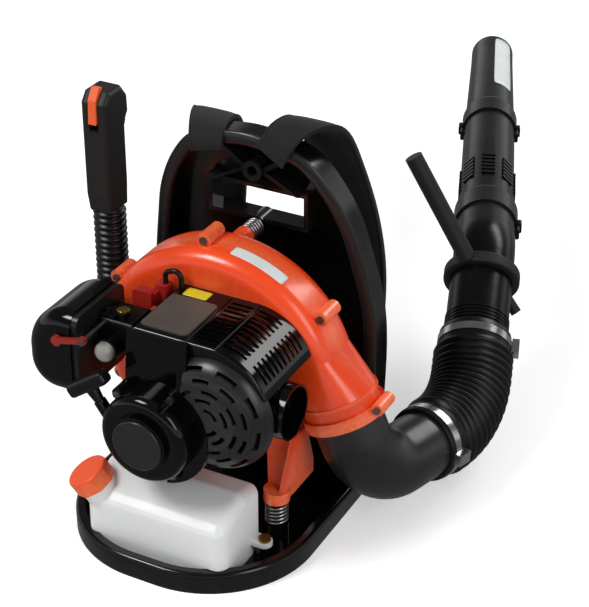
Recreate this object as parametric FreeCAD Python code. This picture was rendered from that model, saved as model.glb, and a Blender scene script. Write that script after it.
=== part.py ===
import FreeCAD, Part
import math
import os

V = FreeCAD.Vector
X = V(1, 0, 0)
Y = V(0, 1, 0)
Z = V(0, 0, 1)

# Driving sizes, in millimetres. The origin is the centre of the base's underside,
# +Y points to the wearer's back, +X to the air outlet, +Z up.
GAP = 0.3                      # seat clearance between pieces of different bodies
RUN = 0.05                     # radial running clearance of a shaft in its bore

base_half_width = 144.0
base_front = -150.0
base_rear = 150.0
base_corner = 126.0
base_rim_height = 26.0
base_rim_width = 11.0
base_floor = 8.0

back_depth = 30.0
back_skin = 4.0
back_rim = 12.0
back_low_y = 122.0
back_mid_y = 131.0
back_top_y = 93.0
back_mid_z = 220.0
back_top_z = 438.0
back_mid_half = 141.0
back_shoulder_half = 118.0
back_shoulder_z = 348.0
slot_half = 58.0
slot_low = 325.0
slot_high = 361.0

crank_z = 178.0
fan_y = 48.0                   # seam plane of the fan housing
housing_half_depth = 36.0
scroll_wall = 3.0
scroll_corner = 20.0
boss_offset = 5.2
scroll_start = 108.0
scroll_end = 150.0
outlet_x = 150.0
outlet_z = 147.0
outlet_tilt = 23.0             # degrees from straight down, towards +X
outlet_bore = 41.0
outlet_wall = 3.5
fan_radius = 92.0
shaft_radius = 7.5
intake_radius = 60.0

spring_x = 98.0
spring_y = -20.0
spring_low_z = 30.0
spring_high_z = 60.0
spring_radius = 12.0
spring_wire = 1.6
spring_turns = 5.5
upper_spring_z = 316.0
upper_spring_start = 92.0
upper_spring_end = 118.0

tank_left = -86.0
tank_right = 90.0
tank_front = -128.0
tank_rear = -38.0
tank_wall = 2.5
lug_x = 103.0

starter_radius = 52.0
starter_front = -140.0
cap_radius = 30.0
cover_top = 285.0
cover_left = -42.0
cover_wall = 2.5
guard_x = 62.0
guard_z = 206.0
guard_radius = 68.0
guard_rear = -84.0
ridge_radius = 66.0
shoulder_x = 58.0
shoulder_z = 215.0
shoulder_radius = 70.0

rope_dir = V(-0.58, 0, 0.81).normalize()
rope_mouth = V(-60, -123, 203)

cleaner_mouth = -106.0
cleaner_front = -106.0
cleaner_rear = -4.0
primer_x = -80.0
primer_z = 234.0
primer_radius = 11.5
choke_x = -87.0
choke_z = 262.0

hose_bore = 40.0
hose_rib = 49.0
hose_root = 44.0
pipe_radius = 39.0
pipe_wall = 2.5
tube_radius = 36.5
nozzle_radius = 32.3
collar_radius = 48.0

arm_x = -34.0 - base_half_width
arm_y = 90.0
arm_pivot_z = 150.0
grip_low = 310.0
grip_high = 458.0

# Centreline of the air path past the housing: corners of the tube's turns.
tilt = math.radians(outlet_tilt)
outlet_dir = V(math.sin(tilt), 0, -math.cos(tilt))
outlet_end = V(outlet_x, fan_y, outlet_z)
elbow_corner = outlet_end + outlet_dir * 79
hose_dir = V(0.2, 0.975, -0.1).normalize()
hose_start = elbow_corner + hose_dir * 94
hose_corner = hose_start + hose_dir * 98
pipe_corner = V(148, 447, 159)
hose_exit_dir = (pipe_corner - hose_corner).normalize()
hose_end = hose_corner + hose_exit_dir * 116
tip = V(-96, 1069, 150)
pipe_dir = (tip - pipe_corner).normalize()
first_joint = pipe_corner + pipe_dir * 66
second_joint = first_joint + pipe_dir * 309

# Pivots inside the grip, tied to its top.
pivot_radius = 2.5
trigger_pivot = V(arm_x, arm_y + 2, grip_high - 28)
cruise_pivot = V(arm_x, arm_y - 15, grip_high - 32)

saved = []


def save(name, shape):
    solids = shape.Solids
    whole = solids[0] if len(solids) == 1 else Part.makeCompound(solids)
    if not whole.isValid():
        print("INVALID", name)
    whole.exportStep("parts/" + name + ".step")
    saved.append(name)


def cyl(radius, base, axis, length):
    return Part.makeCylinder(radius, length, base, axis)


def ring(outer, inner, base, axis, length):
    return cyl(outer, base, axis, length).cut(cyl(inner, base, axis, length))


def box(low, high):
    size = V(*high) - V(*low)
    return Part.makeBox(size.x, size.y, size.z, V(*low))


def polygon_face(points):
    return Part.Face(Part.makePolygon(points + [points[0]]))


def extrude_xz(points, y_low, y_high):
    """Prism along Y of a polygon given as (x, z) pairs."""
    face = polygon_face([V(x, y_low, z) for x, z in points])
    return face.extrude(V(0, y_high - y_low, 0))


def extrude_yz(points, x_low, x_high):
    """Prism along X of a polygon given as (y, z) pairs."""
    face = polygon_face([V(x_low, y, z) for y, z in points])
    return face.extrude(V(x_high - x_low, 0, 0))


def extrude_xy(points, z_low, z_high):
    face = polygon_face([V(x, y, z_low) for x, y in points])
    return face.extrude(V(0, 0, z_high - z_low))


def round_box(low, high, radius, pick):
    """Box with the edges that pick(edge) names rounded."""
    solid = box(low, high)
    return solid.makeFillet(radius, [e for e in solid.Edges if pick(e)])


def along(edge, axis):
    direction = (edge.Vertexes[-1].Point - edge.Vertexes[0].Point).normalize()
    return abs(direction.dot(axis)) > 0.99


def turned(solid, x_dir, y_dir, z_dir):
    """Solid turned so that its own X, Y and Z point along three square directions."""
    place = FreeCAD.Placement(V(), FreeCAD.Rotation(x_dir, y_dir, z_dir, "ZYX"))
    solid.Placement = place
    return solid


def turned_path(points, radii):
    """Wire of straight runs joined by arcs tangent to both runs."""
    edges = []
    here = points[0]
    for corner, following, radius in zip(points[1:-1], points[2:], radii):
        arrive = (corner - here).normalize()
        leave = (following - corner).normalize()
        turn = arrive.getAngle(leave)
        cut = radius * math.tan(turn / 2)
        first = corner - arrive * cut
        last = corner + leave * cut
        bisector = (leave - arrive).normalize()
        centre = corner + bisector * (radius / math.cos(turn / 2))
        middle = centre - bisector * radius
        if (first - here).Length > 0.01:
            edges.append(Part.LineSegment(here, first).toShape())
        edges.append(Part.Arc(first, middle, last).toShape())
        here = last
    if (points[-1] - here).Length > 0.01:
        edges.append(Part.LineSegment(here, points[-1]).toShape())
    return Part.Wire(edges)


def swept_round(path, radius, start, direction):
    section = Part.Wire(Part.makeCircle(radius, start, direction))
    return path.makePipeShell([section], True, False)


def bent_tube(points, radii, outer, inner):
    """Round tube with its bore along straight runs and arcs."""
    path = turned_path(points, radii)
    direction = (points[1] - points[0]).normalize()
    solid = swept_round(path, outer, points[0], direction)
    if inner:
        solid = solid.cut(swept_round(path, inner, points[0], direction))
    return solid


def revolve(profile, base, axis):
    """Turn (radius, height) pairs about an axis through base."""
    side = axis.cross(Z if abs(axis.z) < 0.9 else X).normalize()
    face = polygon_face([base + side * r + axis * h for r, h in profile])
    return face.revolve(base, axis, 360)


def helix_spring(radius, wire, turns, base, axis, length):
    """Open coil as one tube, swept along arcs of a quarter turn."""
    side = axis.cross(X if abs(axis.x) < 0.9 else Z).normalize()
    other = axis.cross(side)
    steps = int(turns * 4)
    rise = (length - 2 * wire) / steps

    def at(quarter):
        angle = quarter * math.pi / 2
        height = axis * (wire + rise * quarter)
        return base + side * (radius * math.cos(angle)) + other * (radius * math.sin(angle)) + height

    edges = [Part.Arc(at(k), at(k + 0.5), at(k + 1)).toShape() for k in range(steps)]
    path = Part.Wire(edges)
    tangent = edges[0].tangentAt(edges[0].FirstParameter)
    section = Part.Wire(Part.makeCircle(wire, at(0), tangent))
    print("spring gap between turns", round(rise * 4 - 2 * wire, 2))
    return path.makePipeShell([section], True, False)


# Backpack frame: base tray and leaning backrest moulded in one piece

def back_front(z):
    """Y of the backrest's front edge at height z."""
    if z < back_mid_z:
        t = z / back_mid_z
        return back_low_y + (back_mid_y - back_low_y) * math.sin(t * math.pi / 2)
    t = (z - back_mid_z) / (back_top_z - back_mid_z)
    return back_mid_y - (back_mid_y - back_top_y) * t ** 1.25


def back_outline(inset, y):
    """Closed outline of the backrest seen from the front."""
    half = [(base_half_width - 2, -6), (back_mid_half + 4, 110), (back_mid_half, 235),
            (back_shoulder_half + 11, 303), (back_shoulder_half, back_shoulder_z),
            (98, 390), (70, 423), (34, back_top_z - 4)]
    right = [V(x - inset, y, z - inset * (z / back_top_z) ** 3) for x, z in half]
    left = [V(-p.x, p.y, p.z) for p in reversed(right)]
    middle = V(0, y, back_top_z - inset)
    curve = Part.BSplineCurve()
    curve.interpolate(right + [middle] + left)
    closing = Part.LineSegment(left[-1], right[0])
    return Part.Wire([curve.toShape(), closing.toShape()])


def back_slab(front_offset, rear_offset, low, high):
    """Curved slab between two copies of the backrest's side curve."""
    heights = [low + (high - low) * k / 6 for k in range(7)]
    front = [V(-200, back_front(max(z, 0)) + front_offset, z) for z in heights]
    rear = [V(-200, back_front(max(z, 0)) + rear_offset, z) for z in reversed(heights)]
    a = Part.BSplineCurve()
    a.interpolate(front)
    b = Part.BSplineCurve()
    b.interpolate(rear)
    wire = Part.Wire([a.toShape(), Part.makeLine(front[-1], rear[0]), b.toShape(),
                      Part.makeLine(rear[-1], front[0])])
    return Part.Face(wire).extrude(V(400, 0, 0))


def base_outline(inset, z):
    w = base_half_width - inset
    front = base_front + inset
    rear = base_rear - inset
    r = base_corner - inset
    q = max(24 - inset, 6)
    k = math.sqrt(0.5)
    arc = lambda a, b, c: Part.Arc(V(*a), V(*b), V(*c)).toShape()
    line = lambda a, b: Part.makeLine(V(*a), V(*b))
    edges = [
        line((-w + r, front, z), (w - r, front, z)),
        arc((w - r, front, z), (w - r + r * k, front + r - r * k, z), (w, front + r, z)),
        line((w, front + r, z), (w, rear - q, z)),
        arc((w, rear - q, z), (w - q + q * k, rear - q + q * k, z), (w - q, rear, z)),
        line((w - q, rear, z), (-w + q, rear, z)),
        arc((-w + q, rear, z), (-w + q - q * k, rear - q + q * k, z), (-w, rear - q, z)),
        line((-w, rear - q, z), (-w, front + r, z)),
        arc((-w, front + r, z), (-w + r - r * k, front + r - r * k, z), (-w + r, front, z))]
    return Part.Wire(edges)


def backpack_frame():
    tray = Part.Face(base_outline(0, 0)).extrude(V(0, 0, base_rim_height))
    tray = tray.makeFillet(5, [e for e in tray.Edges if abs(e.BoundBox.ZMin - base_rim_height) < 0.01])
    pocket = Part.Face(base_outline(base_rim_width, base_floor)).extrude(V(0, 0, 60))
    tray = tray.cut(pocket)
    slab = back_slab(0, back_depth, -6, back_top_z + 20)
    body = Part.Face(back_outline(0, 0)).extrude(V(0, 260, 0))
    shell = slab.common(body)
    hollow = back_slab(-40, back_depth - back_skin, -6, back_top_z + 20)
    hollow = hollow.common(Part.Face(back_outline(back_rim, 0)).extrude(V(0, 260, 0)))
    hollow = hollow.cut(box((-200, -40, -10), (200, 300, base_floor)))
    shell = shell.cut(hollow)
    shell = shell.cut(box((-200, -50, -20), (200, 300, 0)))
    frame = tray.fuse(shell)
    frame = frame.cut(box((-slot_half, 50, slot_low), (slot_half, 220, slot_high)))
    y_slot = back_front((slot_low + slot_high) / 2)
    frame_slot = box((-slot_half - 5, y_slot + 8, slot_low - 5),
                     (slot_half + 5, y_slot + back_depth, slot_high + 5))
    frame_slot = frame_slot.cut(box((-slot_half, 50, slot_low), (slot_half, 220, slot_high)))
    frame = frame.fuse(frame_slot)
    rib_z = slot_high + 24
    rib_y = back_front(rib_z)
    for side in (-1, 1):
        rib = polygon_face([V(side * 8, rib_y + 8, rib_z), V(side * 52, rib_y + 8, slot_high + 4),
                            V(side * 56, rib_y + 8, slot_high + 4), V(side * 12, rib_y + 8, rib_z + 4)])
        frame = frame.fuse(rib.extrude(V(0, back_depth - 9, 0)))
        upper = polygon_face([V(side * 8, rib_y + 8, rib_z + 4), V(side * 12, rib_y + 8, rib_z),
                              V(side * 50, rib_y + 8, rib_z + 26), V(side * 46, rib_y + 8, rib_z + 30)])
        frame = frame.fuse(upper.extrude(V(0, back_depth - 9, 0)))
    frame = frame.fuse(ring(12, 6, V(0, rib_y + 4, rib_z + 2), Y, back_depth - 6))
    for side in (-1, 1):
        seat = cyl(14, V(side * spring_x, spring_y, base_floor - 1), Z, spring_low_z - base_floor + 1 - GAP)
        spigot = cyl(spring_radius - 3.5, V(side * spring_x, spring_y, spring_low_z - 1), Z, 8)
        frame = frame.fuse(seat).fuse(spigot)
        frame = frame.fuse(cyl(9, V(side * lug_x, -58, base_floor - 1), Z, 25 - base_floor))
    cup_y = back_front(upper_spring_z) + back_depth - back_skin
    cup_front = upper_spring_end + GAP
    frame = frame.fuse(cyl(11, V(0, cup_front, upper_spring_z), Y, cup_y - cup_front + 1))
    frame = frame.fuse(cyl(4, V(0, upper_spring_end - 6, upper_spring_z), Y, 8))
    # lug that carries the throttle arm's pivot, outside the left edge
    lug = cyl(17, V(arm_x + 24, arm_y, arm_pivot_z), X, 16)
    web = extrude_yz([(arm_y - 17, arm_pivot_z), (arm_y + 17, arm_pivot_z),
                      (150, 96), (150, 60), (118, 60)], arm_x + 30, max(arm_x + 40, 3 - back_mid_half))
    housing_room = box((-146, 40, 120), (-100, fan_y + housing_half_depth + 2, 200))
    frame = frame.fuse(lug.cut(housing_room)).fuse(web.cut(housing_room))
    frame = frame.cut(cyl(5 + RUN, V(arm_x + 20, arm_y, arm_pivot_z), X, 30))
    return frame.removeSplitter()


def back_pad():
    pad = back_slab(back_depth + 0.02, back_depth + 18, -6, back_top_z + 20)
    outline = round_box((-58, 100, 105), (58, 260, 300), 28, lambda e: along(e, Y))
    save("back_pad", pad.common(outline))


def harness():
    """Padded straps that wrap over the frame's top, and the webbing and buckles below them."""
    webs = []
    buckles = []
    for side, name in ((-1, "left"), (1, "right")):
        lift = 0 if side < 0 else 10
        stations = [(40, 89.0, 402, 22, 2.0, 80), (47, 84.7, 422 + lift / 2, 22, 2.0, 65),
                    (54, 94.8, 441.6 + lift / 2, 23, 2.2, 35), (62, 122, 443 + lift, 26, 3.0, -5),
                    (68, 148, 430 + lift / 2, 30, 4.0, -60), (74, 168, 392, 32, 4.5, -80),
                    (84, 184, 330, 33, 5.0, -85), (92, 191, 265, 33, 5.0, -90), (93, 191, 200, 33, 5.0, -90),
                    (94, 184, 140, 28, 4.0, -97)]
        wires = []
        for x, y, z, half, thick, lean in stations:
            c = V(side * x, y, z)
            a = math.radians(lean)
            run = V(0, math.cos(a), math.sin(a))
            normal = X.cross(run).normalize()
            across = X * half
            up = normal * thick
            corners = [c - across - up, c + across - up, c + across + up, c - across + up]
            wires.append(Part.makePolygon(corners + [corners[0]]))
        save("shoulder_strap_" + name, Part.makeLoft(wires, True, True))
        web = extrude_yz([(183, 139.2), (185, 139.2), (162, 74), (160, 76)], side * 94 - 12, side * 94 + 12)
        low = box((side * 94 - 12, 157.3, 44), (side * 94 + 12, 159.3, 70))
        bent = extrude_yz([(160, 76), (162, 74), (159.3, 60), (157.3, 60)], side * 94 - 12, side * 94 + 12)
        webs.append(web.fuse(bent).fuse(low).removeSplitter())
        buckle = extrude_yz([(166.5, 102), (171.5, 100), (181, 126), (176, 128)],
                            side * 94 - 17, side * 94 + 17)
        buckle = buckle.cut(extrude_yz([(183, 139.2), (185, 139.2), (162, 74), (160, 76)],
                                       side * 94 - 12.5, side * 94 + 12.5))
        buckle = buckle.cut(box((side * 94 - 10, 160, 106), (side * 94 + 10, 190, 112)))
        buckle = buckle.cut(box((side * 94 - 10, 160, 117), (side * 94 + 10, 190, 122)))
        buckles.append(buckle)
    save("strap_webbing", Part.makeCompound(webs))
    save("strap_buckles", Part.makeCompound(buckles))


def fuel_tank():
    neck_dir = V(-0.45, -0.25, 0.86).normalize()
    neck_base = V(-68, -108, 64)

    def body(inset):
        low = base_floor + GAP + inset
        pts = [(tank_front + inset, low), (tank_front + inset, 74), (tank_front + 10 + inset, 82 - inset),
               (tank_front + 52, 98 - inset), (tank_rear - inset, 88 - inset), (tank_rear - inset, low)]
        solid = extrude_yz(pts, tank_left + inset, tank_right - inset)
        level = [e for e in solid.Edges if along(e, X) and e.CenterOfMass.z > 60]
        solid = solid.makeFillet(9 - inset, level)
        ends = [e for e in solid.Edges if e.BoundBox.XLength < 0.01 and e.BoundBox.ZMax > low + 1]
        solid = solid.makeFillet(14 - inset, ends)
        rim = Part.Face(base_outline(-20, 0)).extrude(V(0, 0, base_rim_height + 1 + inset))
        rim = rim.cut(Part.Face(base_outline(base_rim_width + GAP + inset, 0)).extrude(V(0, 0, 60)))
        cap_room = cyl(24.6 + inset, neck_base + neck_dir * (22.2 - inset), neck_dir, 40)
        return solid.cut(rim).cut(cap_room)

    tank = body(0)
    tank = tank.fuse(cyl(20, neck_base, neck_dir, 22))
    tank = tank.fuse(cyl(16, neck_base, neck_dir, 34))
    hollow = body(tank_wall).fuse(cyl(13.5, neck_base - neck_dir * 6, neck_dir, 50))
    tank = tank.cut(hollow)
    for side in (-1, 1):
        ear = box((min(side * 80, side * lug_x), -67, 24 + GAP), (max(side * 80, side * lug_x), -49, 30))
        tank = tank.fuse(ear.cut(hollow)).fuse(cyl(9, V(side * lug_x, -58, 24 + GAP), Z, 6 - GAP))
        tank = tank.cut(cyl(3, V(side * lug_x, -58, 10), Z, 30))
    tank = tank.cut(cyl(8 + GAP, V(-30, -60, 60), Z, 60))
    save("fuel_tank", tank.removeSplitter())
    screws = []
    for side in (-1, 1):
        head = cyl(7, V(side * lug_x, -58, 30), Z, 4)
        screws.append(head.fuse(cyl(2.9, V(side * lug_x, -58, 24 + GAP), Z, 6)))
    save("tank_screws", Part.makeCompound(screws))
    # cap: eight-sided cup that screws over the neck
    base = neck_base + neck_dir * 22.5
    cap = cyl(24, base, neck_dir, 20)
    cap = cap.makeFillet(3, [e for e in cap.Edges if e.Curve.TypeId == "Part::GeomCircle"
                             and abs((e.CenterOfMass - base).dot(neck_dir) - 20) < 0.1])
    side_dir = neck_dir.cross(Y).normalize()
    other = neck_dir.cross(side_dir)
    corners = [base + (side_dir * math.cos(k * math.pi / 4) + other * math.sin(k * math.pi / 4)) * 24.6
               for k in range(8)]
    cap = cap.common(polygon_face(corners).extrude(neck_dir * 20))
    cap = cap.cut(cyl(16 + GAP, base - neck_dir, neck_dir, 13.5))
    save("fuel_cap", cap)


def scroll_arcs():
    """Centreline of the snail: a small arc that runs tangent into a big one."""
    big = scroll_end - housing_half_depth
    centre = V(0, fan_y, crank_z)
    joint = polar(big, 150)
    start = polar(scroll_start - housing_half_depth, -55)
    out = (joint - centre).normalize()
    rel = start - centre
    shift = (big * big - rel.dot(rel)) / (2 * (big - rel.dot(out)))
    return centre + out * shift, start, joint


def polar(radius, angle, y=None):
    a = math.radians(angle)
    return V(radius * math.cos(a), fan_y if y is None else y, crank_z + radius * math.sin(a))


def scroll_radius(angle):
    """Outer radius of the snail about the crank, angle from +X towards +Z."""
    if 20 <= angle <= 150:
        return scroll_end
    centre, start, joint = scroll_arcs()
    radius = (joint - centre).Length + housing_half_depth
    a = math.radians(angle)
    out = V(math.cos(a), 0, math.sin(a))
    rel = centre - V(0, fan_y, crank_z)
    along_out = rel.dot(out)
    return along_out + math.sqrt(radius ** 2 - rel.dot(rel) + along_out ** 2)


def scroll_solid(inset):
    """Snail of rounded square section with the core that it winds about."""
    section = housing_half_depth - inset
    centre, start, joint = scroll_arcs()
    end = polar(scroll_end - housing_half_depth, 20)
    hub = V(0, fan_y, crank_z)
    small_turn = math.degrees((start - centre).getAngle(joint - centre))
    if (start - centre).cross(joint - centre).dot(Y) < 0:
        small_turn = 360 - small_turn
    face = Part.Face(scroll_section(inset, start, Y.cross(start - centre).normalize()))
    first = face.revolve(centre, Y, small_turn)
    face = Part.Face(scroll_section(inset, joint, Y.cross(joint - hub).normalize()))
    second = face.revolve(hub, Y, 130)
    down = Y * -section
    turn = FreeCAD.Rotation(Y, small_turn / 2)
    middle = centre + turn.multVec(start - centre)
    top = polar(scroll_end - housing_half_depth, 85)
    outline = Part.Wire([Part.Arc(start + down, middle + down, joint + down).toShape(),
                         Part.Arc(joint + down, top + down, end + down).toShape(),
                         Part.makeLine(end + down, start + down)])
    core = Part.Face(outline).extrude(Y * (2 * section))
    rotor_room = cyl(fan_radius + 7 - inset, V(0, 26 + inset, crank_z), Y, 44 - 2 * inset)
    return first.fuse(second).fuse(core).fuse(rotor_room)


def scroll_section(inset, centre, normal):
    """Square with rounded corners; its flat sides are the housing's faces and outer band."""
    half = housing_half_depth - inset
    flat = housing_half_depth - scroll_corner
    k = flat + (half - flat) * math.sqrt(0.5)
    other = normal.cross(Y).normalize()
    at = lambda u, v: centre + Y * u + other * v
    edges = []
    for a, b in ((1, 0), (0, 1), (-1, 0), (0, -1)):
        first = at(a * half + b * flat, b * half - a * flat)
        last = at(a * half - b * flat, b * half + a * flat)
        corner = at((a - b) * k, (a + b) * k)
        after = at(a * flat - b * half, b * flat + a * half)
        edges.append(Part.makeLine(first, last))
        edges.append(Part.Arc(last, corner, after).toShape())
    return Part.Wire(edges)


def duct_section(radius, centre, normal):
    """Circle of eight arcs that match the sides of scroll_section."""
    other = normal.cross(Y).normalize()
    turn = [math.radians(22.5 * k) for k in range(-1, 16)]
    at = lambda a: centre + Y * (radius * math.cos(a)) + other * (radius * math.sin(a))
    arcs = [Part.Arc(at(turn[i]), at(turn[i + 1]), at(turn[i + 2])).toShape() for i in range(0, 15, 2)]
    return Part.Wire(arcs)


def duct_cone(inset):
    """Widening throat from the scroll's end to the round outlet."""
    share = inset / scroll_wall
    start = polar(scroll_end - housing_half_depth, 20)
    start_dir = Y.cross(start - V(0, fan_y, crank_z)).normalize()
    big = outlet_bore + outlet_wall * (1 - share)
    throat = outlet_end - outlet_dir * 30
    wires = [scroll_section(inset, start, start_dir), duct_section(big, throat, outlet_dir)]
    cone = Part.makeLoft(wires, True, True)
    return cone.fuse(cyl(big, throat, outlet_dir, 30))


def boss_angles():
    return (150, 97, 37, -160, -115)


def fan_housing():
    outer = scroll_solid(0).fuse(duct_cone(0))
    hollow = scroll_solid(scroll_wall).fuse(duct_cone(scroll_wall))
    shell = outer.cut(hollow)
    mouth = outlet_bore + outlet_wall
    shell = shell.fuse(ring(mouth + 3.5, mouth - 1, outlet_end - outlet_dir * 14, outlet_dir, 14))
    step = ring(mouth + 1.5, outlet_bore, outlet_end - outlet_dir * 30, outlet_dir, 4)
    shell = shell.fuse(step.cut(hollow))
    seats = []
    holes = []
    for angle in boss_angles():
        a = math.radians(angle)
        r = scroll_radius(angle) + boss_offset
        spot = V(r * math.cos(a), fan_y - 15, crank_z + r * math.sin(a))
        seats.append(cyl(8.5, spot, Y, 32))
        holes.append(cyl(2.6, spot - Y, Y, 34))
    seats.append(cyl(7.5, side_screw(), Y, 30))
    holes.append(cyl(2.6, side_screw() - Y, Y, 32))
    for seat in seats:
        shell = shell.fuse(seat.cut(hollow))
    for hole in holes:
        shell = shell.cut(hole)
    # legs over the two lower springs
    for side in (-1, 1):
        x = side * spring_x
        foot = cyl(15, V(x, spring_y, spring_high_z + GAP), Z, 14)
        plate = extrude_yz([(spring_y - 8, spring_high_z + GAP), (46, spring_high_z + GAP), (46, 78),
                            (30, 132), (2, 132), (spring_y - 6, 76)], x + side * 9 - 3, x + side * 9 + 3)
        brace = polygon_face([V(x - side * 13, spring_y + 4, 72), V(x + side * 11, spring_y + 4, 72),
                              V(x + side * 2, 16, 130), V(side * 66, 16, 130)]).extrude(V(0, 6, 0))
        leg = foot.fuse(plate).fuse(brace).cut(hollow)
        shell = shell.fuse(leg)
    shell = shell.fuse(cyl(11, V(0, 60, upper_spring_z), Y, upper_spring_start - GAP - 60).cut(hollow))
    # openings: shaft side, screw circle, and the air intake at the back
    shell = shell.cut(cyl(34, V(0, 0, crank_z), Y, 30))
    shell = shell.cut(cyl(intake_radius, V(0, fan_y, crank_z), Y, 60))
    front = shell.common(box((-250, -60, 0), (300, fan_y, 420)))
    rear = shell.common(box((-250, fan_y, 0), (300, 200, 420)))
    hub = ring(46, 34, V(0, 12, crank_z), Y, 4)
    for k in range(4):
        a = math.radians(45 + 90 * k)
        hub = hub.cut(cyl(2.6, V(40 * math.cos(a), 0, crank_z + 40 * math.sin(a)), Y, 20))
    front = front.fuse(hub)
    save("fan_housing_front", front.removeSplitter())
    save("fan_housing_rear", rear.removeSplitter())
    screws = []
    for angle in boss_angles():
        a = math.radians(angle)
        r = scroll_radius(angle) + boss_offset
        spot = V(r * math.cos(a), fan_y - 15, crank_z + r * math.sin(a))
        screws.append(cyl(4.5, spot - Y * 3, Y, 3).fuse(cyl(2.5, spot - Y, Y, 28)))
    screws.append(cyl(4.2, side_screw() - Y * 3, Y, 3).fuse(cyl(2.5, side_screw() - Y, Y, 26)))
    save("housing_screws", Part.makeCompound(screws))


def side_screw():
    """Front end of the seat beside the outlet's flange."""
    out = V(math.cos(tilt), 0, math.sin(tilt))
    return outlet_end - outlet_dir * 10 + out * (outlet_bore + outlet_wall + 7) - Y * 15


def intake_grille():
    y = fan_y + housing_half_depth
    guard = ring(intake_radius + 6, intake_radius - 4, V(0, y, crank_z), Y, 3)
    for r in (16, 30, 44):
        guard = guard.fuse(ring(r + 1.5, r - 1.5, V(0, y, crank_z), Y, 3))
    guard = guard.fuse(cyl(6, V(0, y, crank_z), Y, 3))
    for k in range(6):
        spoke = box((0, y, crank_z - 1.5), (intake_radius, y + 3, crank_z + 1.5))
        spoke.rotate(V(0, y, crank_z), Y, 60 * k + 15)
        guard = guard.fuse(spoke)
    save("intake_grille", guard.removeSplitter())


def rotor():
    shaft = cyl(shaft_radius, V(0, -96, crank_z), Y, 96 + 74)
    web = cyl(30, V(0, -56, crank_z), Y, 10).fuse(cyl(30, V(0, -26, crank_z), Y, 10))
    lightened = box((-32, -60, crank_z + 12), (32, 0, crank_z + 40))
    web = web.cut(lightened.cut(cyl(15, V(0, -60, crank_z), Y, 60)))
    save("crankshaft", shaft.fuse(web).removeSplitter())
    wheel = cyl(48, V(0, 18, crank_z), Y, 12).cut(cyl(shaft_radius, V(0, 0, crank_z), Y, 60))
    wheel = wheel.cut(ring(40, 20, V(0, 24, crank_z), Y, 10))
    save("flywheel", wheel)
    fan = cyl(fan_radius, V(0, 33, crank_z), Y, 3).fuse(cyl(20, V(0, 30.2, crank_z), Y, 34))
    for k in range(14):
        root = 360 / 14 * k

        def pt(r, lag):
            return polar(r, root + math.degrees(lag), 35)

        front = [pt(34, 0), pt(64, 0.16), pt(fan_radius - 1, 0.42)]
        back = [pt(fan_radius - 1, 0.45), pt(64, 0.195), pt(34, 0.06)]
        wire = Part.Wire([Part.Arc(*front).toShape(), Part.makeLine(front[-1], back[0]),
                          Part.Arc(*back).toShape(), Part.makeLine(back[-1], front[0])])
        fan = fan.fuse(Part.Face(wire).extrude(V(0, 26, 0)))
    fan = fan.cut(cyl(shaft_radius, V(0, 0, crank_z), Y, 100))
    save("fan_impeller", fan.removeSplitter())
    save("fan_nut", cyl(9, V(0, 64.2, crank_z), Y, 8).cut(cyl(shaft_radius, V(0, 0, crank_z), Y, 100)))


def engine():
    # crankcase with its two shaft holes and the barrel seat
    case = cyl(44, V(0, -76, crank_z), Y, 88)
    case = case.fuse(box((-30, -74, crank_z), (30, -8, 224)))
    case = case.fuse(ring(46, 34, V(0, 8, crank_z), Y, 4))
    case = case.cut(cyl(32, V(0, -60, crank_z), Y, 48))
    case = case.cut(cyl(shaft_radius + RUN, V(0, -90, crank_z), Y, 120))
    case = case.cut(cyl(18, V(0, -41, 200), Z, 40))
    save("crankcase", case.removeSplitter())
    barrel = cyl(24, V(0, -41, 224.0), Z, 44)
    for k in range(6):
        low = 228 + 7.5 * k
        barrel = barrel.fuse(round_box((-37, -76, low), (37, -8, low + 2.2), 8, lambda e: along(e, Z)))
    barrel = barrel.fuse(box((-44, -54, 234), (-20, -28, 258))).fuse(box((20, -58, 234), (42, -24, 262)))
    barrel = barrel.cut(cyl(17, V(0, -41, 220), Z, 40))
    barrel = barrel.cut(cyl(4.6, V(0, -41, 255), Z, 30))
    save("cylinder", barrel.removeSplitter())
    save("piston", cyl(17 - RUN, V(0, -41, 232), Z, 24).cut(cyl(14, V(0, -41, 230), Z, 22)))
    plug = cyl(4.5, V(0, -41, 258), Z, 12).fuse(cyl(6.5, V(0, -41, 268.0), Z, 4))
    save("spark_plug", plug.fuse(cyl(3.5, V(0, -41, 272), Z, 5)).removeSplitter())
    # muffler on the right, with its outlet tube
    muffler = round_box((46, -82, 160), (112, -12, 256), 12, lambda e: True)
    muffler = muffler.fuse(box((42, -58, 234), (48, -24, 262)))
    muffler = muffler.cut(round_box((48.5, -79.5, 162.5), (109.5, -14.5, 253.5), 10, lambda e: True))
    muffler = muffler.cut(cyl(10, V(30, -41, 247), X, 30)).cut(cyl(24, V(100, -50, 205), X, 30))
    save("muffler", muffler.removeSplitter())
    outlet = ring(31, 24, V(112, -50, 205), X, 4).fuse(ring(31, 28.5, V(116, -50, 205), X, 20))
    save("exhaust_outlet", outlet.removeSplitter())


def ridge(grow):
    """Raised lip of the cover that runs down from its top and round the starter."""
    outer = ridge_radius + grow
    ring_part = ring(outer, starter_radius + GAP, V(0, -113 - grow, crank_z), Y, 24 + 2 * grow)
    keep = extrude_xz([(20, 228), (80, 258), (120, 178), (60, 60), (14, 60), (14, 178)], -150, -60)
    neck = extrude_xz([(23 - grow, 284), (34 + grow, 284), (37 + grow, 250), (50 + grow, 221),
                       (38, 208), (27 - grow, 236)], -113 - grow, -89 + grow)
    slant = extrude_yz([(-130, 300), (-96 - grow, 300), (-96 - grow, 284), (-114 - grow, 215),
                        (-130, 215)], 0, 80)
    return ring_part.common(keep).fuse(neck.cut(slant))


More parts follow.
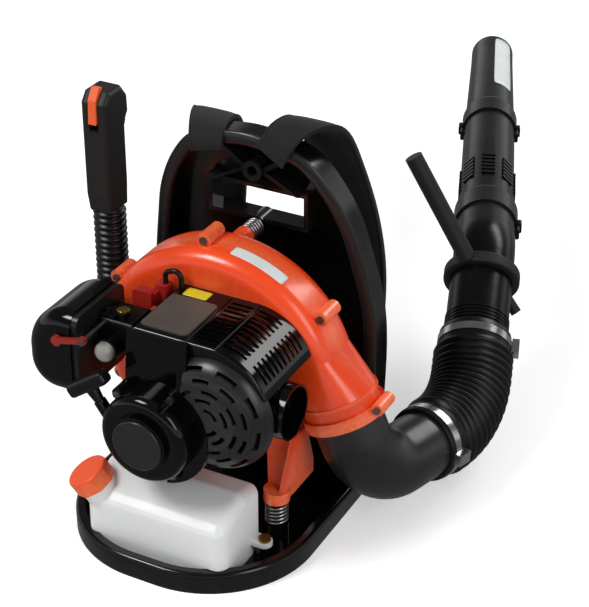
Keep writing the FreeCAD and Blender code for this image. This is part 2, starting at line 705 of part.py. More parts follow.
def muffler_guard():
    depth = 28.0
    front = guard_rear - depth
    base = V(guard_x, guard_rear, guard_z)

    def dome(radius, high):
        profile = [(0, 0), (0, -high), (radius * 0.55, -high), (radius * 0.82, -high + 7),
                   (radius * 0.95, -high + 16), (radius, 0)]
        side = [base + X * r + Y * h for r, h in profile]
        edge = Part.BSplineCurve()
        edge.interpolate(side[2:])
        wire = Part.Wire([Part.makeLine(side[0], side[1]), Part.makeLine(side[1], side[2]), edge.toShape(),
                          Part.makeLine(side[-1], side[0])])
        return Part.Face(wire).revolve(base, Y, 360)

    shell = dome(guard_radius, depth).cut(dome(guard_radius - 2.6, depth - 2.6))
    shell = shell.cut(cyl(starter_radius + 4, V(0, -200, crank_z), Y, 150)).cut(ridge(GAP))
    shell = shell.cut(box((-60, -200, 190), (34, -60, 300))).cut(box((-60, -200, 100), (20, -60, 300)))
    for r, count, shift in ((15, 3, 20), (26, 5, 0), (37, 7, 12), (48, 9, 4), (59, 9, 16)):
        arc = ring(r + 2.4, r - 2.4, V(guard_x, front - 5, guard_z), Y, depth)
        for k in range(count):
            span = 360 / count
            a = math.radians(shift + span * k)
            b = math.radians(shift + span * k + 0.6 * span)
            spots = [(guard_x, guard_z)]
            for reach, angle in ((90, a), (90 / math.cos((b - a) / 2), (a + b) / 2), (90, b)):
                spots.append((guard_x + reach * math.cos(angle), guard_z + reach * math.sin(angle)))
            shell = shell.cut(arc.common(extrude_xz(spots, front - 6, guard_rear)))
    save("muffler_guard", shell)


def louvre(start, end, y):
    """Slot through the cover's rounded shoulder between two angles in degrees."""
    near = shoulder_radius - 8
    far = shoulder_radius + 12
    spots = []
    for radius, angle in ((near, start), (far, start), (far, end), (near, end)):
        a = math.radians(angle)
        spots.append((shoulder_x + radius * math.cos(a), shoulder_z + radius * math.sin(a)))
    return extrude_xz(spots, y, y + 4.4)


def engine_cover():
    front = -92.0
    rear = 11.6

    def body(inset, y_low, y_high):
        radius = shoulder_radius - inset
        top = shoulder_z + radius
        left = cover_left + inset
        low = 226 - 6 * (inset > 0)
        end = math.asin((238 - shoulder_z) / radius)
        right = shoulder_x + radius * math.cos(end)
        middle = (math.pi / 2 + end) / 2
        half_way = (shoulder_x + radius * math.cos(middle), shoulder_z + radius * math.sin(middle))
        at = lambda x, z: V(x, y_low, z)
        edges = [Part.makeLine(at(left, low), at(left, top - 9)),
                 Part.makeLine(at(left, top - 9), at(left + 9, top)),
                 Part.makeLine(at(left + 9, top), at(shoulder_x, top)),
                 Part.Arc(at(shoulder_x, top), at(*half_way), at(right, 238)).toShape(),
                 Part.makeLine(at(right, 238), at(right, low)),
                 Part.makeLine(at(right, low), at(left, low))]
        return Part.Face(Part.Wire(edges)).extrude(V(0, y_high - y_low, 0))

    outer = body(0, front, rear)
    upper = [e for e in outer.Edges if e.BoundBox.YMax < front + 0.1 and e.BoundBox.ZMin > 237]
    outer = outer.makeFillet(4, upper)
    outer = outer.cut(box((36, front - 10, 200), (200, rear + 10, 238)))
    shell = outer.cut(body(cover_wall, front + cover_wall, rear + 10))
    for k in range(10):
        y = -80 + 8.6 * k
        shell = shell.cut(box((34, y, 262), (60, y + 4.4, 300)))
        shell = shell.cut(louvre(82, 58, y)).cut(louvre(50, 30, y))
    for x in (29, 64):
        shell = shell.cut(box((x, front - 10, cover_top - 1.2), (x + 1.6, rear + 10, cover_top + 10)))
    panel = extrude_yz([(front, cover_top - 4), (front + 2.5, cover_top - 4), (-98, 205), (-101, 205)],
                       cover_left, 31)
    shell = shell.fuse(panel).fuse(ridge(0)).cut(cyl(starter_radius + GAP, V(0, -200, crank_z), Y, 200))
    for angle in (62, 138, 222, 298):
        shell = shell.cut(cyl(7.5, polar(54, angle, -200), Y, 120))
    guard_room = cyl(guard_radius + GAP, V(guard_x, -200, guard_z), Y, 200 + guard_rear + GAP)
    shell = shell.cut(guard_room.cut(ridge(0)).cut(box((-60, -210, 100), (34 - GAP, -50, 300))))
    shell = shell.cut(box((cover_left - 5, -60, 220), (cover_left + 5, -22, 264)))
    shell = shell.cut(cyl(3.4, V(-30, 2, cover_top - 12), Z, 30))
    save("engine_cover", shell.removeSplitter())
    plate = round_box((-31, -84, cover_top + 0.02), (26, -14, cover_top + 1.8), 6, lambda e: along(e, Z))
    save("cover_plate", plate)


def ignition():
    """Red ignition coil beside the cover, with its lead looping in through the top."""
    coil = round_box((-60, -6, 246), (-cover_wall + cover_left + 0.4, 9, 286), 4, lambda e: along(e, Z))
    coil = coil.fuse(round_box((-80, -20, 262), (-56, -8, 282), 4, lambda e: along(e, Y)))
    coil = coil.fuse(box((-62, -14, 264), (-54, 0, 280)))
    save("ignition_coil", coil.removeSplitter())
    points = [V(-50, 2, 286.02), V(-50, 2, 300), V(-30, 2, 308), V(-30, 2, 262)]
    save("ignition_lead", bent_tube(points, [6, 8], 3, 0))
    cap = cyl(7, V(0, -41, 272.05), Z, 9).cut(cyl(3.5 + RUN, V(0, -41, 272), Z, 5))
    save("plug_cap", cap)


def front_rim(solid, y):
    """Round edges that lie in the plane at y."""
    return [e for e in solid.Edges if abs(e.BoundBox.YMax - y) < 0.1 and e.BoundBox.XLength > 15]


def starter():
    case = cyl(starter_radius, V(0, starter_front, crank_z), Y, 50)
    case = case.makeFillet(10, front_rim(case, starter_front))
    case = case.fuse(cyl(cap_radius + 3, V(0, starter_front - 6, crank_z), Y, 20))
    case = case.cut(cyl(cap_radius - 2, V(0, starter_front - 20, crank_z), Y, 22.5))
    case = case.cut(cyl(starter_radius - 4, V(0, starter_front + 12, crank_z), Y, 60))
    case = case.cut(cyl(cap_radius, V(0, starter_front - 20, crank_z), Y, 18))
    rear_ring = ring(starter_radius, 44.5, V(0, -90, crank_z), Y, 8)
    case = case.fuse(rear_ring)
    lugs = []
    for angle in (62, 138, 222, 298):
        a = math.radians(angle)
        spot = V(54 * math.cos(a), -118, crank_z + 54 * math.sin(a))
        case = case.fuse(cyl(7, spot, Y, 32).cut(cyl(starter_radius - 4, V(0, -128, crank_z), Y, 60)))
        case = case.cut(cyl(2.6, spot - Y, Y, 20)).cut(cyl(5, spot - Y * 30, Y, 30))
        lugs.append(cyl(4.6, spot - Y * 3, Y, 3).fuse(cyl(2.5, spot, Y, 18)))
    rope_seat = cyl(7, rope_mouth - rope_dir * 22, rope_dir, 22)
    rope_seat = rope_seat.cut(cyl(starter_radius - 4, V(0, starter_front, crank_z), Y, 60))
    case = case.fuse(rope_seat).cut(cyl(2 + RUN, rope_mouth - rope_dir * 40, rope_dir, 50))
    case = case.fuse(cyl(9 - RUN, V(0, starter_front + 11, crank_z), Y, 20))
    save("starter_housing", case.removeSplitter())
    save("starter_screws", Part.makeCompound(lugs))
    cap = cyl(cap_radius - GAP, V(0, starter_front - 9, crank_z), Y, 7 - GAP)
    save("starter_cap", cap.makeFillet(2, front_rim(cap, starter_front - 9)))
    reel = ring(26, 9, V(0, -126, crank_z), Y, 16)
    for y in (-126, -113):
        reel = reel.fuse(ring(34, 9, V(0, y, crank_z), Y, 3))
    save("starter_reel", reel.removeSplitter())
    grip = round_box((-28, -9, 14), (28, 9, 30), 5, lambda e: True)
    grip = grip.fuse(Part.makeCone(5.5, 7.5, 16, V(0, 0, GAP), Z)).fuse(cyl(2, V(0, 0, -22), Z, 30))
    grip = turned(grip.removeSplitter(), V(-rope_dir.z, 0, rope_dir.x) * -1, Y, rope_dir)
    grip.translate(rope_mouth)
    save("starter_handle", grip)


def cleaner_shell(inset):
    """Rounded bowl of the air cleaner, open towards the carburettor."""
    low, high, left, right = 181 + inset, 284 - inset, -167 + inset, cleaner_mouth + (inset > 0) * 20
    big, small, k = 54 - inset, 36 - inset, math.sqrt(0.5)
    y = cleaner_front + inset
    at = lambda x, z: V(x, y, z)
    edges = [Part.makeLine(at(right, low), at(left + small, low)),
             Part.Arc(at(left + small, low), at(left + small - small * k, low + small - small * k),
                      at(left, low + small)).toShape(),
             Part.makeLine(at(left, low + small), at(left, high - big)),
             Part.Arc(at(left, high - big), at(left + big - big * k, high - big + big * k),
                      at(left + big, high)).toShape(),
             Part.makeLine(at(left + big, high), at(right, high)),
             Part.makeLine(at(right, high), at(right, low))]
    solid = Part.Face(Part.Wire(edges)).extrude(V(0, cleaner_rear - cleaner_front - 2 * inset, 0))
    rims = [e for e in solid.Edges if not along(e, Y) and e.CenterOfMass.x < right - 0.5]
    return solid.makeFillet(20 - inset, rims)


def intake():
    save("intake_spacer", box((-56, -56, 232), (-44, -26, 260)).cut(cyl(9, V(-60, -41, 246), X, 20)))
    mouth = cleaner_mouth
    carb = round_box((mouth + 7, -62, 226), (-56, -20, 264), 4, lambda e: along(e, X))
    carb = carb.fuse(cyl(primer_radius + 3, V(primer_x, -77, primer_z), Y, 16))
    carb = carb.cut(cyl(primer_radius + RUN, V(primer_x, -80, primer_z), Y, 14))
    carb = carb.fuse(cyl(5, V(-71, -52, 262), Z, 8)).fuse(cyl(8, V(-71, -52, 270), Z, 3))
    carb = carb.fuse(box((-96, -60, 262), (-78, -40, 268))).fuse(cyl(3, V(-88, -55, 266), Z, 8))
    carb = carb.cut(cyl(9, V(-130, -41, 246), X, 80))
    save("carburettor", carb.removeSplitter())
    bulb = cyl(primer_radius, V(primer_x, -87, primer_z), Y, 15)
    save("primer_bulb", bulb.makeFillet(7, front_rim(bulb, -87)))
    plate = round_box((mouth, cleaner_front + 3, 184), (mouth + 7, cleaner_rear - 3, 281), 12,
                      lambda e: along(e, X))
    save("air_cleaner_base", plate.cut(cyl(9, V(-130, -41, 246), X, 80)))
    save("air_filter", round_box((mouth - 22, -88, 196), (mouth, -16, 270), 5, lambda e: along(e, X)))
    save("air_cleaner_cover", cleaner_shell(0).cut(cleaner_shell(2.5)))
    knob = cyl(12, V(-177, -52, 226), X, 9.7).fuse(box((-179, -62, 223), (-173, -42, 229)))
    save("cover_knob", knob.removeSplitter())
    lever = box((-34, -2.5, -3), (2, 2.5, 3))
    lever = lever.fuse(cyl(6, V(-34, -2.5, 0), Y, 5)).fuse(cyl(5, V(0, -2.5, 0), Y, 5))
    lever.rotate(V(0, 0, 0), Y, -14)
    lever.translate(V(choke_x, cleaner_front - 4, choke_z))
    save("choke_lever", lever.cut(cyl(2.4 + RUN, V(choke_x, -140, choke_z), Y, 60)).removeSplitter())
    pin = cyl(2.4, V(choke_x, cleaner_front - 7.5, choke_z), Y, -cleaner_front - 54.5)
    save("choke_pin", pin.fuse(cyl(4, V(choke_x, cleaner_front - 7.6, choke_z), Y, 1.05)).removeSplitter())


def air_path():
    route = [outlet_end - outlet_dir * 20, elbow_corner, hose_start + hose_dir * 26]
    save("outlet_elbow", bent_tube(route, [62], 40.5, 37.5))
    path = turned_path([hose_start + hose_dir * 4, hose_corner, hose_end], [155])
    length = path.Length
    save("flex_hose", hose(path, length))
    radius = 44.8
    clamps = (("hose_clamp_lower", hose_start + hose_dir * 10, hose_dir),
              ("hose_clamp_upper", hose_end - hose_exit_dir * 18, hose_exit_dir))
    for name, spot, axis in clamps:
        band = ring(radius + 1.2, radius, spot, axis, 10)
        out = axis.cross(Z).normalize()
        housing = box((-7, -5, 0), (7, 15, 9))
        housing = turned(housing, axis.cross(out), axis, out)
        housing.translate(spot + out * (radius + 0.8))
        save(name, band.fuse(housing).removeSplitter())


def hose(path, length):
    """Ribbed tube: a ruled loft through circles along the path."""
    def at(s):
        return place_on(path, s)

    wires = []
    inner = []
    cuff = 26.0
    ribs = 16
    pitch = (length - 2 * cuff) / ribs
    spots = [(0, 44.5), (cuff - 1, 44.5)]
    for k in range(ribs):
        s = cuff + pitch * k
        spots += [(s + 0.5, hose_root), (s + pitch * 0.35, hose_rib), (s + pitch * 0.65, hose_rib)]
    spots += [(length - cuff, hose_root), (length - cuff + 1, 44.5), (length, 44.5)]
    for s, r in spots:
        point, axis = at(s)
        wires.append(circle_wire(r, point, axis))
    outer = Part.makeLoft(wires, True, True)
    bore = [circle_wire(40.5 + GAP, *at(s)) for s in (0, cuff)]
    first = Part.makeLoft(bore, True, True)
    steps = [cuff + (length - 2 * cuff - 16) * k / 8 for k in range(9)]
    middle = Part.makeLoft([circle_wire(hose_bore, *at(s)) for s in steps], True, True)
    mouth = [circle_wire(pipe_radius + 2 + GAP, *at(s)) for s in (length - cuff - 16, length)]
    last = Part.makeLoft(mouth, True, True)
    return outer.cut(first).cut(middle).cut(last)


def place_on(path, s):
    left = s
    for edge in path.OrderedEdges:
        if left <= edge.Length + 1e-6:
            u = edge.getParameterByLength(min(left, edge.Length))
            return edge.valueAt(u), edge.tangentAt(u)
        left -= edge.Length
    return edge.valueAt(edge.LastParameter), edge.tangentAt(edge.LastParameter)


def circle_wire(radius, point, axis):
    side = (X - axis * X.dot(axis)).normalize()
    other = axis.cross(side)
    turn = [math.pi / 4 * k for k in range(9)]
    spots = [point + (side * math.cos(a) + other * math.sin(a)) * radius for a in turn]
    return Part.Wire([Part.Arc(*spots[i:i + 3]).toShape() for i in (0, 2, 4, 6)])


def round_axis(axis, angle):
    """Direction square to axis, turned about it from the level one on its right."""
    level = axis.cross(Z).normalize()
    a = math.radians(angle)
    return level * math.cos(a) + level.cross(axis) * math.sin(a)


def pipe_ear(spot, out, radius, length):
    """Raised ear of a twist lock, its long side along the pipe."""
    ear = round_box((-7, 0, 0), (7, length, 6), 2.5, lambda e: along(e, Y))
    ear = turned(ear, pipe_dir.cross(out), pipe_dir, out)
    ear.translate(spot + out * radius)
    return ear


def pipes():
    side = pipe_dir.cross(Z).normalize()
    route = [hose_end - hose_exit_dir * 36, pipe_corner, first_joint + pipe_dir * 30]
    swivel = bent_tube(route, [70], pipe_radius, pipe_radius - pipe_wall)
    bead = ring(pipe_radius + 2, pipe_radius - 1, hose_end - hose_exit_dir * 30, hose_exit_dir, 4)
    swivel = swivel.fuse(bead)
    for k in range(4):
        spot = hose_end + hose_exit_dir * (6 + 5 * k)
        swivel = swivel.fuse(ring(pipe_radius + 1.2, pipe_radius - 1, spot, hose_exit_dir, 2.4))
    for sign in (-1, 1):
        swivel = swivel.fuse(pipe_ear(first_joint - pipe_dir * 15, side * sign, pipe_radius - 1, 12))
    save("swivel_pipe", swivel.removeSplitter())
    # straight pipe: slides over the swivel pipe's spigot
    j = first_joint
    sleeve = ring(pipe_radius + 3, pipe_radius + GAP, j, pipe_dir, 40)
    cone = Part.makeCone(pipe_radius + 3, tube_radius, 14, j + pipe_dir * 40, pipe_dir)
    near = j + pipe_dir * 40
    cone = cone.cut(Part.makeCone(pipe_radius + GAP, tube_radius - pipe_wall, 14, near, pipe_dir))
    run_length = (second_joint - j).Length - 54 + 30
    run = ring(tube_radius, tube_radius - pipe_wall, j + pipe_dir * 54, pipe_dir, run_length)
    tube = sleeve.fuse(cone).fuse(run)
    up = side.cross(pipe_dir).normalize()
    for k in range(8):
        a = math.radians(45 * k)
        out = side * math.cos(a) + up * math.sin(a)
        for n in range(6):
            bar = box((-9, 0, -1), (9, 5, 2.4))
            bar = turned(bar, pipe_dir.cross(out), pipe_dir, out)
            bar.translate(j + pipe_dir * (90 + 11 * n) + out * (tube_radius - 0.6))
            tube = tube.fuse(bar)
    for sign in (-1, 1):
        tube = tube.fuse(pipe_ear(j + pipe_dir * 3, side * sign, pipe_radius + 2, 12))
        tube = tube.fuse(pipe_ear(second_joint - pipe_dir * 22, side * sign, tube_radius - 1, 12))
    save("straight_pipe", tube.removeSplitter())
    k0 = second_joint - pipe_dir * 6
    neck = ring(tube_radius + 3, tube_radius + GAP, k0, pipe_dir, 38)
    back = Part.makeCone(tube_radius + 3, tube_radius - 1, 12, k0 + pipe_dir * 38, pipe_dir)
    back = back.cut(Part.makeCone(tube_radius + GAP, tube_radius - 3.5, 12, k0 + pipe_dir * 38, pipe_dir))
    body_len = (tip - k0).Length - 50
    near = k0 + pipe_dir * 50
    inner = Part.makeCone(tube_radius - 3.5, nozzle_radius - pipe_wall, body_len - 40, near, pipe_dir)
    taper = Part.makeCone(tube_radius - 1, nozzle_radius, body_len - 40, near, pipe_dir).cut(inner)
    end = ring(nozzle_radius, nozzle_radius - pipe_wall, tip - pipe_dir * 40, pipe_dir, 40)
    nozzle = neck.fuse(back).fuse(taper).fuse(end)
    for sign in (-1, 1):
        nozzle = nozzle.fuse(pipe_ear(k0 + pipe_dir * 3, side * sign, tube_radius + 2, 12))
    save("nozzle_pipe", nozzle.removeSplitter())
    # handle: collar on the swivel pipe with a grip rod and a tail
    c = pipe_corner - hose_exit_dir * 49
    axis = hose_exit_dir
    collar = ring(collar_radius, pipe_radius + GAP, c, axis, 16)
    rims = [e for e in collar.Edges if e.Curve.TypeId == "Part::GeomCircle"]
    collar = collar.makeFillet(3, [e for e in rims if abs(e.Curve.Radius - collar_radius) < 0.1])
    rod_base = c + axis * 8 + round_axis(axis, 115) * (collar_radius - 3)
    rod_end = V(74, 380, 305)
    grip = cyl(11, rod_base, (rod_end - rod_base).normalize(), (rod_end - rod_base).Length)
    tail_base = c + axis * 8 + round_axis(axis, 312) * (collar_radius - 4)
    tail = cyl(7, tail_base, V(0.68, -0.13, -0.72).normalize(), 28)
    bore = cyl(pipe_radius + GAP, c - axis * 40, axis, 80)
    save("pipe_handle", collar.fuse(grip.cut(bore)).fuse(tail.cut(bore)).removeSplitter())


def throttle_arm():
    pivot = V(arm_x, arm_y, arm_pivot_z)
    hub = cyl(20, pivot - X * 14, X, 38 - GAP)
    foot = hub.fuse(cyl(13.8, pivot, Z, 30)).cut(cyl(5 + RUN, pivot - X * 20, X, 60))
    save("arm_base", foot.removeSplitter())
    save("arm_pin", cyl(5, pivot - X * 14, X, 54).fuse(cyl(9, pivot - X * 18, X, 4)).removeSplitter())
    count = 17
    low = arm_pivot_z + 30
    pitch = (grip_low - low) / count
    profile = [(0, 0)]
    for k in range(count):
        foot = pitch * k
        profile += [(16, foot), (16, foot + 1.5), (19.5, foot + 2.5), (19.5, foot + pitch - 1.5),
                    (16, foot + pitch - 0.5)]
    profile += [(16, grip_low - low), (0, grip_low - low)]
    save("throttle_conduit", revolve(profile, V(arm_x, arm_y, low), Z))
    height = grip_high - grip_low
    pts = [(arm_y - 18, grip_low), (arm_y - 22, grip_low + 0.15 * height), (arm_y - 22, grip_high - 12),
           (arm_y - 12, grip_high), (arm_y + 14, grip_high), (arm_y + 25, grip_high - 14),
           (arm_y + 26, grip_high - 34), (arm_y + 18, grip_high - 46), (arm_y + 18, grip_low + 0.2 * height),
           (arm_y + 16, grip_low)]
    body = extrude_yz(pts, arm_x - 17, arm_x + 17)
    body = body.makeFillet(6, [e for e in body.Edges if not along(e, X)])
    slot = box((arm_x - 5.5, arm_y - 6, grip_high - 74), (arm_x + 5.5, arm_y + 60, grip_high - 14))
    lever_room = box((arm_x - 6, arm_y - 30, grip_high - 46), (arm_x + 6, arm_y - 8, grip_high + 10))
    body = body.cut(slot).cut(lever_room)
    body = body.cut(cyl(pivot_radius + RUN, trigger_pivot - X * 11.3, X, 22.6))
    body = body.cut(cyl(pivot_radius + RUN, cruise_pivot - X * 11.3, X, 22.6))
    save("grip_left", body.common(box((arm_x - 60, 0, 0), (arm_x, 300, 600))))
    save("grip_right", body.common(box((arm_x, 0, 0), (arm_x + 60, 300, 600))))
    t = trigger_pivot
    trigger = extrude_yz([(t.y - 3, t.z + 4), (t.y + 20, t.z + 1), (t.y + 33, t.z - 24), (t.y + 29, t.z - 32),
                          (t.y + 17, t.z - 13), (t.y - 3, t.z - 5)], arm_x - 5, arm_x + 5)
    trigger = trigger.fuse(cyl(5, t - X * 5, X, 10)).fuse(cyl(pivot_radius, t - X * 11, X, 22))
    save("throttle_trigger", trigger.removeSplitter())
    q = cruise_pivot
    lever = extrude_yz([(q.y + 4, q.z - 3), (q.y + 1, q.z + 22), (q.y + 7, q.z + 36), (q.y, q.z + 37),
                        (q.y - 8, q.z + 24), (q.y - 10, q.z - 4)], arm_x - 5, arm_x + 5)
    lever = lever.fuse(cyl(5, q - X * 5, X, 10)).fuse(cyl(pivot_radius, q - X * 11, X, 22))
    save("cruise_lever", lever.removeSplitter())


def springs():
    length = spring_high_z - spring_low_z
    seats = [V(side * spring_x, spring_y, spring_low_z) for side in (-1, 1)]
    coils = [helix_spring(spring_radius, spring_wire, spring_turns, seat, Z, length) for seat in seats]
    save("lower_springs", Part.makeCompound(coils))
    save("upper_spring", helix_spring(9, 1.4, 5, V(0, upper_spring_start, upper_spring_z), Y,
                                      upper_spring_end - upper_spring_start))


def main():
    os.makedirs("parts", exist_ok=True)
    save("backpack_frame", backpack_frame())
    back_pad()
    harness()
    fuel_tank()
    springs()
    fan_housing()
    intake_grille()
    rotor()
    engine()
    muffler_guard()
    engine_cover()
    starter()
    intake()
    ignition()
    air_path()
    pipes()
    throttle_arm()
    print(len(saved), "nodes")


main()
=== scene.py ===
import math

import bpy
from mathutils import Matrix, Vector


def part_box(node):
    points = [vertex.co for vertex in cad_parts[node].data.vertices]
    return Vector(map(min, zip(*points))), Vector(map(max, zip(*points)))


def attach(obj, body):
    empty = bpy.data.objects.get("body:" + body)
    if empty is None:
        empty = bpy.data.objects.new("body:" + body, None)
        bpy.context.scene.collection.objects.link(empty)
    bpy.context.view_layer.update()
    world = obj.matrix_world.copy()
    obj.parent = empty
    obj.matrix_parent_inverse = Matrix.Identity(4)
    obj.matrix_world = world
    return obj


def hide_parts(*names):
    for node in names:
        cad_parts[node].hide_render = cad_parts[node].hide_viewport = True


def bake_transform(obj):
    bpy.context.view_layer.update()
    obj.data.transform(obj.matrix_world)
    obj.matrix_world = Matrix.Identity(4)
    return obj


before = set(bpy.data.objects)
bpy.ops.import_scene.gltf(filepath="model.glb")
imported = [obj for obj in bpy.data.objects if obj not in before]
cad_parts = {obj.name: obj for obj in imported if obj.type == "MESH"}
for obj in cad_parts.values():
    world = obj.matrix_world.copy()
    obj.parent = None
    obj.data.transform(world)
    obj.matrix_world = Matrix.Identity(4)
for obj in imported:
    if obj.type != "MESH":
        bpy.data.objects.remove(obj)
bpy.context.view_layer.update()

MM = 0.001
X = Vector((1, 0, 0))
Y = Vector((0, 1, 0))
Z = Vector((0, 0, 1))

# Places of the fan, the air path, the springs and the throttle arm, in metres
crank_z = 0.178
fan_y = 0.048
outlet_tilt = math.radians(23)
outlet_dir = Vector((math.sin(outlet_tilt), 0, -math.cos(outlet_tilt)))
outlet_end = Vector((0.150, fan_y, 0.147))
elbow_corner = outlet_end + outlet_dir * 0.079
hose_dir = Vector((0.2, 0.975, -0.1)).normalized()
hose_start = elbow_corner + hose_dir * 0.094
hose_corner = hose_start + hose_dir * 0.098
pipe_corner = Vector((0.148, 0.447, 0.159))
hose_exit_dir = (pipe_corner - hose_corner).normalized()
hose_end = hose_corner + hose_exit_dir * 0.116
tip = Vector((-0.096, 1.069, 0.150))
pipe_dir = (tip - pipe_corner).normalized()
hose_bend_radius = 0.155
spring_x = 0.098
spring_y = -0.020
arm_x = -0.178
arm_y = 0.090

# The backrest's front edge seen from the side, in metres
back_low_y = 0.122
back_mid_y = 0.131
back_mid_z = 0.220
back_bulge = 0.009
back_lean = 0.038
back_lean_height = 0.218


# Materials

def srgb(r, g, b):
    """Colour read from 0-255 values, as the linear colour that a shader takes."""
    def one(c):
        c = c / 255
        return c / 12.92 if c <= 0.04045 else ((c + 0.055) / 1.055) ** 2.4
    return (one(r), one(g), one(b), 1)


class Paint:
    """A node material with helpers for noise, ramps and bumps."""

    def __init__(self, name, roughness, metallic=0.0):
        self.material = bpy.data.materials.new(name)
        self.material.use_nodes = True
        self.tree = self.material.node_tree
        self.shader = self.tree.nodes["Principled BSDF"]
        self.shader.inputs["Roughness"].default_value = roughness
        self.shader.inputs["Metallic"].default_value = metallic
        self.height = None
        coords = self.tree.nodes.new("ShaderNodeTexCoord")
        self.place = coords.outputs["Object"]

    def add(self, kind, **values):
        node = self.tree.nodes.new(kind)
        for key, value in values.items():
            if hasattr(node, key):
                setattr(node, key, value)
            else:
                node.inputs[key.replace("_", " ")].default_value = value
        return node

    def link(self, a, b):
        self.tree.links.new(a, b)

    def noise(self, scale, detail, stretch=None):
        node = self.add("ShaderNodeTexNoise", Scale=scale, Detail=detail, Roughness=0.55)
        if stretch:
            mapping = self.add("ShaderNodeMapping")
            mapping.inputs["Scale"].default_value = stretch
            self.link(self.place, mapping.inputs["Vector"])
            self.link(mapping.outputs["Vector"], node.inputs["Vector"])
        else:
            self.link(self.place, node.inputs["Vector"])
        return node.outputs["Fac"]

    def ramp(self, source, stops, socket=None):
        node = self.add("ShaderNodeValToRGB")
        while len(node.color_ramp.elements) < len(stops):
            node.color_ramp.elements.new(0.5)
        for element, (position, colour) in zip(node.color_ramp.elements, stops):
            element.position = position
            element.color = colour
        self.link(source, node.inputs["Fac"])
        if socket:
            self.link(node.outputs["Color"], self.shader.inputs[socket])
        return node.outputs["Color"]

    def spread(self, source, low, high, socket):
        node = self.add("ShaderNodeMapRange")
        node.inputs["To Min"].default_value = low
        node.inputs["To Max"].default_value = high
        self.link(source, node.inputs["Value"])
        self.link(node.outputs["Result"], self.shader.inputs[socket])

    def bump(self, source, strength, distance):
        node = self.add("ShaderNodeBump", Strength=strength, Distance=distance)
        self.link(source, node.inputs["Height"])
        if self.height:
            self.link(self.height, node.inputs["Normal"])
        self.height = node.outputs["Normal"]
        self.link(self.height, self.shader.inputs["Normal"])


def moulded(name, colour, roughness, grain=0.25, coat=0.0, spread=0.06, worn=None, gleam=0.5):
    """Moulded plastic: slightly uneven colour and gloss, fine grain, scuffed edges."""
    paint = Paint(name, roughness)
    darken = 0.82
    lighten = 1.12
    haze = 0.0015
    base = srgb(*colour)
    dark = tuple(c * darken for c in base[:3]) + (1,)
    light = tuple(min(c * lighten + haze, 1) for c in base[:3]) + (1,)
    cloud = paint.noise(scale=9, detail=4)
    tone = paint.ramp(cloud, [(0.3, dark), (0.55, base), (0.8, light)])
    if worn:
        edge = paint.add("ShaderNodeNewGeometry").outputs["Pointiness"]
        mask = paint.ramp(edge, [(0.52, (0, 0, 0, 1)), (0.60, (1, 1, 1, 1))])
        mix = paint.add("ShaderNodeMix", data_type="RGBA")
        scuff = paint.add("ShaderNodeMath", operation="MULTIPLY")
        paint.link(mask, scuff.inputs[0])
        paint.link(paint.noise(scale=160, detail=5), scuff.inputs[1])
        paint.link(scuff.outputs[0], mix.inputs["Factor"])
        paint.link(tone, mix.inputs["A"])
        mix.inputs["B"].default_value = srgb(*worn)
        tone = mix.outputs["Result"]
    paint.link(tone, paint.shader.inputs["Base Color"])
    paint.spread(paint.noise(scale=38, detail=5), roughness - spread, roughness + spread, "Roughness")
    paint.bump(paint.noise(scale=900, detail=2), strength=grain, distance=0.00018)
    paint.bump(paint.noise(scale=14, detail=2), strength=0.10, distance=0.0010)
    paint.shader.inputs["Coat Weight"].default_value = coat
    paint.shader.inputs["Coat Roughness"].default_value = 0.12
    paint.shader.inputs["Specular IOR Level"].default_value = gleam
    return paint.material


def metal(name, colour, roughness, stretch, grain=0.2):
    """Bare metal with uneven tone and gloss; stretch packs its fine marks closer."""
    paint = Paint(name, roughness, metallic=1.0)
    darken = 0.7
    base = srgb(*colour)
    dark = tuple(c * darken for c in base[:3]) + (1,)
    paint.ramp(paint.noise(scale=60, detail=4), [(0.35, dark), (0.7, base)], "Base Color")
    marks = paint.noise(scale=220, detail=4, stretch=stretch)
    paint.spread(marks, roughness - 0.08, roughness + 0.12, "Roughness")
    paint.bump(paint.noise(scale=420, detail=3, stretch=stretch), strength=grain, distance=0.0002)
    return paint.material


def woven(name, colour, pitch, sheen=0.25, ribs=(1, 1)):
    """Coarse cloth: two crossed waves for warp and weft, fuzz and worn tone."""
    paint = Paint(name, roughness=0.86)
    fade = 1.7
    dust = 0.002
    base = srgb(*colour)
    light = tuple(c * fade + dust for c in base[:3]) + (1,)
    paint.ramp(paint.noise(scale=30, detail=5), [(0.35, base), (0.75, light)], "Base Color")
    wobble = 0.4
    spacing = 0.16
    warp = paint.add("ShaderNodeTexWave", bands_direction="X", Scale=1 / pitch * ribs[0], Distortion=wobble)
    weft = paint.add("ShaderNodeTexWave", bands_direction="Z", Scale=1 / pitch * ribs[1], Distortion=wobble)
    mapping = paint.add("ShaderNodeMapping")
    mapping.inputs["Scale"].default_value = (spacing, spacing, spacing)
    paint.link(paint.place, mapping.inputs["Vector"])
    for wave in (warp, weft):
        paint.link(mapping.outputs["Vector"], wave.inputs["Vector"])
    both = paint.add("ShaderNodeMath", operation="MAXIMUM")
    paint.link(warp.outputs["Fac"], both.inputs[0])
    paint.link(weft.outputs["Fac"], both.inputs[1])
    paint.bump(both.outputs[0], strength=0.5, distance=0.0005)
    paint.bump(paint.noise(scale=700, detail=3), strength=0.35, distance=0.0004)
    paint.shader.inputs["Sheen Weight"].default_value = sheen
    paint.shader.inputs["Sheen Roughness"].default_value = 0.5
    return paint.material


